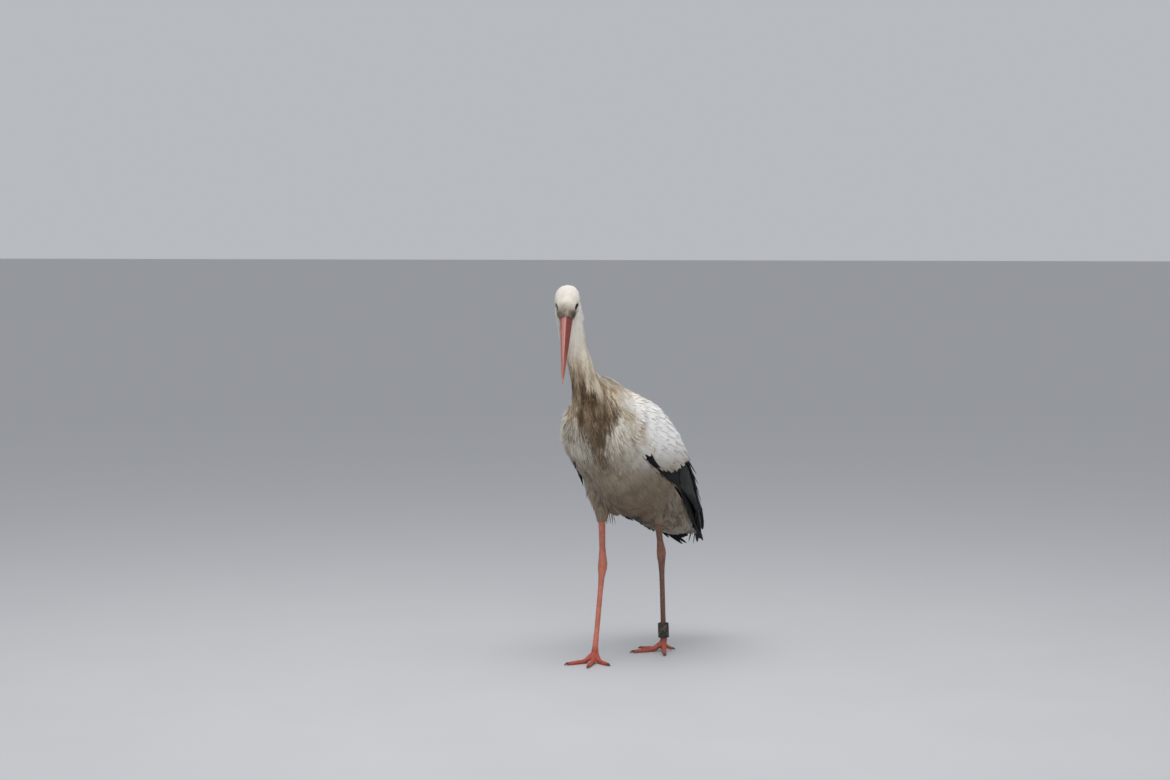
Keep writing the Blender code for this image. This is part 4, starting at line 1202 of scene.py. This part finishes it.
for side, below in (("left", 0.004), ("right", 0.016)):
    knee = Vector(end_middle(f"tibia_{side}", (0, 0, 1), 0.1))
    shin = (Vector(end_middle(f"tibia_{side}", (0, 0, -1), 0.1)) - knee).normalized()
    hem = float(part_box(f"thigh_{side}")[0][2])
    knee = knee + shin * ((hem - knee.z) / shin.z)
    for number in range(260):
        turn = feather_luck.uniform(0, 2 * math.pi)
        out = Vector((math.cos(turn), math.sin(turn), 0))
        high = feather_luck.uniform(0.004, 0.022)
        root = skin_tree.find_nearest(knee - shin * high + out * (0.012 + high * 0.5))[0]
        hang = knee + shin * below * feather_luck.uniform(0.3, 1.1)
        hang = hang + out * feather_luck.uniform(0.0072, 0.0100)
        trousers.append({"root": root, "tip": hang, "facing": out, "width": 0.0011,
                         "layer": feather_luck.uniform(0.0, 0.0015),
                         "tone": feather_luck.uniform(0.0, 1.0)})
loose_locks = placed_feathers("loose_locks", jowl + wisps + trousers + undertail, white.material, Hug=0.0,
                              Rows=6, Sides=4, Bluntness=3.0, Root_Width=0.6, Thickness=0.0003,
                              Softness=0.8, Depth=0.0)


# ---------------------------------------------------------------- bill
# The bill is a long, straight, tapering horn in two halves: the upper with a flat ridge, steep sides and a
# slit of a nostril on each side, the lower with a keel. It is red and palest at the tip. A painted highlight
# runs by the ridge and the keel; the bird's right half is painted as lit, and its left half, its right side
# low down and the faces where the halves meet are painted in shade.
BILL_RINGS, BILL_SPOKES = 90, 48


def cut_through(node, start, along, left, up, shares):
    """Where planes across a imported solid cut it: how far along each lies, and its extent left and up."""
    corners = node_points(node)
    faces = np.array([face.vertices[:] for face in frame["nodes"][node].data.polygons])
    far, wide, high = ((corners - start) @ axis for axis in (along, left, up))
    ends = np.concatenate([faces[:, [0, 1]], faces[:, [1, 2]], faces[:, [2, 0]]])
    cuts = []
    for share in shares:
        at = far.min() + (far.max() - far.min()) * share
        crossing = ends[(far[ends[:, 0]] - at) * (far[ends[:, 1]] - at) < 0]
        gone = (at - far[crossing[:, 0]]) / (far[crossing[:, 1]] - far[crossing[:, 0]])
        width, height = (axis[crossing[:, 0]] + gone * (axis[crossing[:, 1]] - axis[crossing[:, 0]])
                         for axis in (wide, high))
        cuts.append((at, width.min(), width.max(), height.min(), height.max()))
    return cuts


def smooth_mesh(name, points, faces):
    """A closed, smooth mesh with its faces turned outward."""
    mesh = bpy.data.meshes.new(name)
    mesh.from_pydata(points, [], faces)
    bm = bmesh.new()
    bm.from_mesh(mesh)
    bmesh.ops.recalc_face_normals(bm, faces=bm.faces)
    bm.to_mesh(mesh)
    bm.free()
    mesh.shade_smooth()
    return shown(name, mesh)


def closed_loft(name, rings):
    """A closed mesh from rings of points, with a flat cap at each end."""
    spokes = len(rings[0])
    points = [point for ring in rings for point in ring]
    faces = [[ring * spokes + spoke, ring * spokes + (spoke + 1) % spokes,
              (ring + 1) * spokes + (spoke + 1) % spokes, (ring + 1) * spokes + spoke]
             for ring in range(len(rings) - 1) for spoke in range(spokes)]
    faces += [list(range(spokes))[::-1], [(len(rings) - 1) * spokes + spoke for spoke in range(spokes)]]
    return smooth_mesh(name, points, faces)


def nostril(share, across):
    """The depth of the slit in the upper half, near its root."""
    along = (share - 0.135) / 0.050
    return 0.0016 * math.exp(-abs(along) ** 4) * math.exp(-((abs(across) - 0.80) / 0.07) ** 2)


def bill_half(name, node, upper_half):
    shares = [0.002 + 0.996 * (1 - (1 - number / (BILL_RINGS - 1)) ** 1.15) for number in range(BILL_RINGS)]
    rings, across_all, share_all = [], [], []
    cuts = cut_through(node, bill_root, head_ahead, head_left, head_up, shares)
    for share, (at, right, left, low, high) in zip(shares, cuts):
        half, middle, ring = (left - right) / 2, (left + right) / 2, []
        for spoke in range(BILL_SPOKES):
            turn = 2 * math.pi * spoke / BILL_SPOKES
            across, lift = math.cos(turn), math.sin(turn)
            roof = 0.62 * (1 - abs(across) ** 1.25) + 0.38 * abs(lift) ** 0.5
            if upper_half:
                height = low + (high - low) * (roof if lift > 0 else 0.06 * abs(lift))
            else:
                height = high - (high - low) * (roof if lift < 0 else 0.06 * abs(lift))
            wide = half * across * (1 - 0.05 * (1 - abs(lift)) * (1 - share))
            wide -= math.copysign(nostril(share, across), across) if upper_half and lift > 0 else 0
            ring.append(bill_root + head_ahead * at + head_left * (middle + wide) + head_up * height)
            outside = lift * (1 if upper_half else -1) > 0
            across_all.append(across if outside else math.copysign(1.0, across))
            share_all.append(share)
        rings.append(ring)
    obj = closed_loft(name, [[tuple(map(float, point)) for point in ring] for ring in rings])
    keep_on(obj, "aside", np.array(across_all))
    keep_on(obj, "gone", np.array(share_all))
    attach(obj, "root")
    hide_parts(node)
    return obj


horn = material_graph("red horn", Roughness=0.42, Specular_IOR_Level=0.45, Subsurface_Weight=0.05)
aside, gone = kept_value(horn, "aside"), kept_value(horn, "gone")
place = own_place(horn)
grain = noise(horn, stretched(horn, place, (900, 900, 60)), 1.0, 3.0)
scuffs = noise(horn, place, 160.0, 4.0)
# Painted light and shade: pale is the lit red, on the bird's right half; deep the shaded red, on its left.
pale, deep = (blend(horn, horn.ease(grain, 0.3, 0.7), srgb(first), srgb(second))
              for first, second in (("ad7166", "bd877b"), ("6c2a25", "83403a")))
horn_colour = blend(horn, horn.ease(aside, 0.02, 0.16), pale, deep)
feed(horn, "Base Color", painted_over(horn, horn_colour, (
    # Painted highlight: a pale line by the ridge and by the keel, just to the bird's right of their middle.
    (horn.ease(horn.sum("ABSOLUTE", aside + 0.10), 0.14, 0.02) * 0.5, "c78a7c"),
    # Painted shade: low on the bird's right side and on the faces where the two halves meet.
    (horn.ease(aside, -0.55, -0.85) * 0.6, "7d332c"),
    (horn.ease(gone, 0.45, 0.75) * 0.5, "a8604f"),
    (horn.ease(gone, 0.85, 1.0) * 0.6, "c98f7c"),
    (horn.ease(gone, 0.06, 0.0) * 0.6, "5a3a33"),
    (horn.ease(scuffs, 0.60, 0.75) * 0.3, "6e5148"))))
feed(horn, "Roughness", 0.32 + 0.25 * scuffs)
relief(horn, grain, 0.3, 0.0003)
for name, node, upper_half in (("bill_upper_horn", "bill_upper", True),
                               ("bill_lower_horn", "bill_lower", False)):
    bill_half(name, node, upper_half).data.materials.append(horn.material)


# ---------------------------------------------------------------- eyes
# Each eye is a small, dark, wet ball, sunk in a bare black rim of skin that runs out to a point towards the
# bill. The rim is laid on the skin of the head, and short feathers of the brow hang over its upper edge.
EYE_RADIUS = 0.0060
EYE_SUNK = 0.0024


def skin_under(point, facing):
    hit = skin_tree.ray_cast(Vector(point) + Vector(facing) * 0.02, -Vector(facing))
    return (hit[0], hit[1]) if hit[0] is not None else skin_tree.find_nearest(Vector(point))[:2]


eyeball_paint = material_graph("dark eye", Roughness=0.08, Coat_Weight=1.0, Coat_Roughness=0.03)
sight = kept_value(eyeball_paint, "from_pupil")
flecks = noise(eyeball_paint, own_place(eyeball_paint), 1500.0, 2.0)
iris = blend(eyeball_paint, flecks, srgb("22140d"), srgb("3a2417"))
iris = blend(eyeball_paint, eyeball_paint.ease(sight, 0.42, 0.34), iris, srgb("030303"))
iris = blend(eyeball_paint, eyeball_paint.ease(sight, 0.74, 0.82), iris, srgb("0a0808"))
feed(eyeball_paint, "Base Color", iris)
bare = material_graph("bare black skin", Roughness=0.45)
wrinkles = bare.add("ShaderNodeTexVoronoi", sockets={"Vector": own_place(bare), "Scale": 1100.0})
feed(bare, "Base Color", blend(bare, wrinkles, srgb("0b0a0a"), srgb("26211f")))
relief(bare, wrinkles, 0.5, 0.0003)

for side, sign in (("left", 1), ("right", -1)):
    centre = eye_points[side]
    spot_on_skin, facing = skin_tree.find_nearest(Vector(centre))[:2]
    spot_on_skin, facing = skin_under(centre, (facing + Vector(head_left) * sign).normalized())
    facing = np.array((facing + Vector(head_left) * sign * 0.5).normalized())
    forward = unit(head_ahead - (head_ahead @ facing) * facing)
    brow = np.cross(facing, forward) * (1 if np.cross(facing, forward) @ head_up > 0 else -1)
    forward, brow = (forward * math.cos(EYE_SLANT) + brow * math.sin(EYE_SLANT),
                     brow * math.cos(EYE_SLANT) - forward * math.sin(EYE_SLANT))
    middle = np.array(spot_on_skin) - facing * EYE_SUNK
    rings, from_pupil = [], []
    for ring in range(25):
        tilt = math.radians(2 + 176 * ring / 24)
        ways = [forward * math.cos(turn) + brow * math.sin(turn)
                for turn in np.linspace(0, 2 * math.pi, 33)[:-1]]
        rings.append([tuple(map(float, middle + EYE_RADIUS * (facing * math.cos(tilt)
                                                              + math.sin(tilt) * way))) for way in ways])
        from_pupil += [math.sin(tilt) if tilt < math.pi / 2 else 1.0] * 32
    eyeball = closed_loft(f"eyeball_{side}", rings)
    keep_on(eyeball, "from_pupil", np.array(from_pupil))
    eyeball.data.materials.append(eyeball_paint.material)
    rings = []
    for ring in range(14):
        reach = ring / 13
        line = []
        for turn in np.linspace(0, 2 * math.pi, 49)[:-1]:
            ahead, above = math.cos(turn), math.sin(turn)
            point_out = 0.0054 + 0.0056 * max(ahead, 0) ** 3 + 0.0034 * max(-ahead, 0) ** 2
            inner, outer = EYE_RADIUS * 0.74, point_out + 0.0014
            distance = inner + (outer - inner) * reach
            on, out = skin_under(middle + facing * EYE_SUNK + (forward * ahead + brow * above) * distance,
                                 facing)
            ridge = 0.0022 * math.exp(-((reach - 0.22) / 0.20) ** 2) + 0.0014 * (1 - reach ** 4)
            ridge -= 0.0008 * reach ** 6
            line.append(tuple(np.array(on) + facing * ridge))
        rings.append(line)
    inside = [tuple(np.array(point) - facing * 0.004) for point in rings[0]]
    outside = [tuple(np.array(point) - facing * 0.003) for point in rings[-1]]
    rim = closed_loft(f"eye_rim_{side}", [inside] + rings + [outside])
    rim.data.materials.append(bare.material)
    for piece in (eyeball, rim):
        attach(piece, "root")
    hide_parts(f"eye_{side}")


# ---------------------------------------------------------------- legs, claws and ring
# Bare legs and feet are covered by small many-sided scales, which become rings round the ankle and broad
# plates along the top of each toe. The grooves between them are cut in the mesh. Claws are blunt dark horn.
LEG_VOXEL = 0.00095
GROOVE = 0.00028
TOES = ("inner", "middle", "outer", "hind")


def scaled_leg(side):
    nodes = [f"tibia_{side}", f"tarsus_{side}", f"foot_{side}"] + [f"toe_{side}_{toe}" for toe in TOES]
    leg = without_islands(fused(f"leg_{side}", nodes, LEG_VOXEL, 0.0005, 5))
    leg.data.shade_smooth()
    points, normals = vertex_array(leg.data), vertex_array(leg.data, "normal")
    ankle = end_middle(f"tarsus_{side}", (0, 0, 1), 0.06) + end_middle(f"tibia_{side}", (0, 0, -1), 0.06)
    ankle = ankle / 2
    foot_top = float(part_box(f"foot_{side}")[1][2])
    at_ankle = np.exp(-((points[:, 2] - ankle[2]) / 0.020) ** 2)
    on_foot = ease(points[:, 2], foot_top + 0.004, foot_top - 0.008)
    groove = np.zeros(len(points))
    cell_tone = np.zeros(len(points))
    for number, point in enumerate(points):
        stretch = Vector((point[0] * 420, point[1] * 420, point[2] * 260))
        distances, cells = voronoi(stretch)
        edge = distances[1] - distances[0]
        groove[number] = max(0.0, 1 - edge / 0.22)
        mixed = cells[0].x * 12.9898 + cells[0].y * 78.233 + cells[0].z * 37.7
        cell_tone[number] = (math.sin(mixed) * 43758.5) % 1
    rings = 0.5 + 0.5 * np.sin(points[:, 2] * 2 * math.pi / 0.0045)
    groove = groove * (1 - at_ankle) + at_ankle * ease(rings, 0.25, 0.0)
    hub = end_middle(f"foot_{side}", (0, 0, -1), 0.5)
    out = np.linalg.norm((points - hub)[:, :2], axis=1)
    plates = 0.5 + 0.5 * np.sin(out * 2 * math.pi / 0.0042)
    on_top = on_foot * ease(normals[:, 2], 0.1, 0.5) * ease(out, 0.012, 0.020)
    groove = groove * (1 - on_top) + on_top * ease(plates, 0.22, 0.0)
    points = points - normals * (groove * GROOVE)[:, None]
    points[:, 2] = np.maximum(points[:, 2], 0.0)
    leg.data.vertices.foreach_set("co", points.astype(np.float32).ravel())
    leg.data.update()
    for label, values in (("groove", groove), ("cell", cell_tone), ("ankle", at_ankle), ("foot", on_foot)):
        keep_on(leg, label, values)
    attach(leg, "root")
    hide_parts(*nodes)
    return leg


def leg_finish(name, shank, shank_dirty, foot_colour, knob, knob_dirty):
    paint = material_graph(name, Roughness=0.5, Specular_IOR_Level=0.4)
    groove, cell, ankle, foot = (kept_value(paint, label) for label in ("groove", "cell", "ankle", "foot"))
    place = own_place(paint)
    blotches, specks = noise(paint, place, 38.0, 4.0), noise(paint, place, 420.0, 2.0)
    colour = blend(paint, paint.ease(blotches, 0.38, 0.62), srgb(shank), srgb(shank_dirty))
    colour = blend(paint, ankle * 0.75, colour, blend(paint, blotches, srgb(knob), srgb(knob_dirty)))
    colour = blend(paint, foot, colour, blend(paint, blotches, srgb(foot_colour), srgb("8f4132")))
    feed(paint, "Base Color", painted_over(paint, colour, (
        (cell * 0.22, "d9a58f"), (groove * 0.55, "5a2c24"),
        (paint.ease(specks, 0.58, 0.72) * 0.3, "5b4034"))))
    feed(paint, "Roughness", 0.38 + 0.3 * blotches)
    relief(paint, specks, 0.4, 0.0002)
    return paint.material


LEG_COLOURS = {"right": ("d2745f", "bb6a56", "d1432b", "b0604a", "b9795a"),
               "left": ("5f4031", "4a3a2a", "b84a34", "8a5140", "7d553f")}
for side, colours in LEG_COLOURS.items():
    scaled_leg(side).data.materials.append(leg_finish(f"{side} leg scales", *colours))

claw_horn = material_graph("claw horn", Roughness=0.4)
layers = noise(claw_horn, own_place(claw_horn), 500.0, 3.0)
feed(claw_horn, "Base Color", blend(claw_horn, layers, srgb("2b2523"), srgb("5d504a")))
relief(claw_horn, layers, 0.3, 0.0002)
for side in SIDES:
    nodes = [f"claw_{side}_{toe}" for toe in TOES]
    claws = fused(f"claws_{side}", nodes, 0.0005, 0.0001, 3)
    claws.data.shade_smooth()
    claws.data.materials.append(claw_horn.material)
    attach(claws, "root")
    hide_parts(*nodes)

# The leg ring is a short tube of dark, worn plastic, rounded at its mouths and split down one side.
RING_SPOKES = 96
tube = node_points("leg_ring")
tube_axis = unit(end_middle("tarsus_left", (0, 0, 1), 0.05) - end_middle("tarsus_left", (0, 0, -1), 0.05))
tube_middle = box_middle(tube)
tube_side = unit(np.cross(tube_axis, (0.0, 1.0, 0.0)))
tube_front = np.cross(tube_side, tube_axis)
tube_half = float(np.ptp((tube - tube_middle) @ tube_axis)) / 2
tube_off = np.linalg.norm(tube - tube_middle - ((tube - tube_middle) @ tube_axis)[:, None] * tube_axis,
                          axis=1)
inner, outer = float(tube_off.min()), float(tube_off.max())
profile = [(inner, 0.0)] + [(inner, share) for share in (0.5, 0.9)]
profile += [(inner + (outer - inner) * (0.5 - 0.5 * math.cos(turn)), 0.97 + 0.03 * math.sin(turn))
            for turn in np.linspace(0, math.pi, 7)]
profile += [(outer - 0.00025 * (abs(share - 0.84) < 0.02), share)
            for share in (0.9, 0.87, 0.855, 0.84, 0.825, 0.81, 0.5)]
profile = profile + [(outer, 0.0)] + [(radius, -share) for radius, share in profile[:0:-1]]
columns = []
for spoke in range(RING_SPOKES):
    turn = 2 * math.pi * spoke / RING_SPOKES
    out = tube_side * math.cos(turn) + tube_front * math.sin(turn)
    notch = 0.0006 * math.exp(-((turn - 4.2) / 0.035) ** 2)
    columns.append([tuple(map(float, tube_middle + tube_axis * share * tube_half + out * (
        radius - notch * (radius > (inner + outer) / 2)))) for radius, share in profile])
height = len(profile)
ring_tube = smooth_mesh("leg_ring_tube", [point for column in columns for point in column], [
    [spoke * height + step, (spoke + 1) % RING_SPOKES * height + step,
     (spoke + 1) % RING_SPOKES * height + (step + 1) % height, spoke * height + (step + 1) % height]
    for spoke in range(RING_SPOKES) for step in range(height)])
plastic = material_graph("worn dark plastic", Roughness=0.5)
place = own_place(plastic)
worn, mud = noise(plastic, place, 260.0, 5.0), noise(plastic, place, 90.0, 3.0)
plastic_colour = blend(plastic, plastic.ease(worn, 0.45, 0.70), srgb("221f1c"), srgb("3d3730"))
plastic_colour = blend(plastic, plastic.ease(mud, 0.50, 0.66) * 0.7, plastic_colour, srgb("63574a"))
feed(plastic, "Base Color", plastic_colour)
feed(plastic, "Roughness", 0.35 + 0.4 * mud)
relief(plastic, worn, 0.3, 0.0002)
ring_tube.data.materials.append(plastic.material)
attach(ring_tube, "root")
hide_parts("leg_ring")


# ---------------------------------------------------------------- floor, light and camera
# A plain, pale floor, a soft grey surround and two broad lamps, as in a studio. The camera stands ahead of
# the bird and to its left, a little higher than its head.
bpy.ops.mesh.primitive_plane_add(size=400)
floor = bpy.context.object
floor.name = "floor"
paving = material_graph("pale floor", Roughness=0.6)
place = own_place(paving)
cloudy, grit = noise(paving, place, 3.0, 5.0), noise(paving, place, 420.0, 2.0)
feed(paving, "Base Color", blend(paving, cloudy * 0.6 + grit * 0.4, srgb("bfbfc1"), srgb("c9c9cb")))
feed(paving, "Roughness", 0.5 + 0.2 * cloudy)
floor.data.materials.append(paving.material)
world = bpy.data.worlds.new("studio")
bpy.context.scene.world = world
world.use_nodes = True
world.node_tree.nodes["Background"].inputs["Color"].default_value = (0.50, 0.52, 0.55, 1)
world.node_tree.nodes["Background"].inputs["Strength"].default_value = 0.95


def soft_light(name, place, target, size, power):
    lamp = bpy.data.lights.new(name, "AREA")
    lamp.shape = "DISK"
    lamp.size = size
    lamp.energy = power
    obj = bpy.data.objects.new(name, lamp)
    obj.location = place
    obj.rotation_mode = "QUATERNION"
    obj.rotation_quaternion = (Vector(target) - Vector(place)).to_track_quat("-Z", "Y")
    bpy.context.scene.collection.objects.link(obj)


soft_light("overhead", (0.2, -0.8, 3.4), (0, 0, 0.5), 3.0, 70)
soft_light("front", (3.2, -4.4, 2.6), (0, 0, 0.5), 3.0, 60)
VIEW_FROM = math.radians(29)
VIEW_DISTANCE = 5.87
VIEW_HEIGHT = 0.96
LENS_LENGTH = 76.9
SENSOR_WIDTH = 36.0
PAN_LEFT = math.radians(0.92)
PITCH_DOWN = math.radians(3.21)
AIM_SHIFT = Vector((-0.0002, 0.0040, 0.0))
toward = Vector((-math.sin(VIEW_FROM), math.cos(VIEW_FROM), 0))
lens = bpy.data.cameras.new("camera")
lens.lens = LENS_LENGTH
lens.sensor_width = SENSOR_WIDTH
camera = bpy.data.objects.new("camera", lens)
camera.location = AIM_SHIFT - toward * VIEW_DISTANCE + Vector((0, 0, VIEW_HEIGHT))
gaze = Matrix.Rotation(PAN_LEFT, 3, "Z") @ toward
gaze = gaze * math.cos(PITCH_DOWN) + Vector((0, 0, -math.sin(PITCH_DOWN)))
camera.rotation_mode = "QUATERNION"
camera.rotation_quaternion = gaze.to_track_quat("-Z", "Y")
bpy.context.scene.collection.objects.link(camera)
bpy.context.scene.camera = camera
bpy.context.scene.view_settings.view_transform = "Standard"
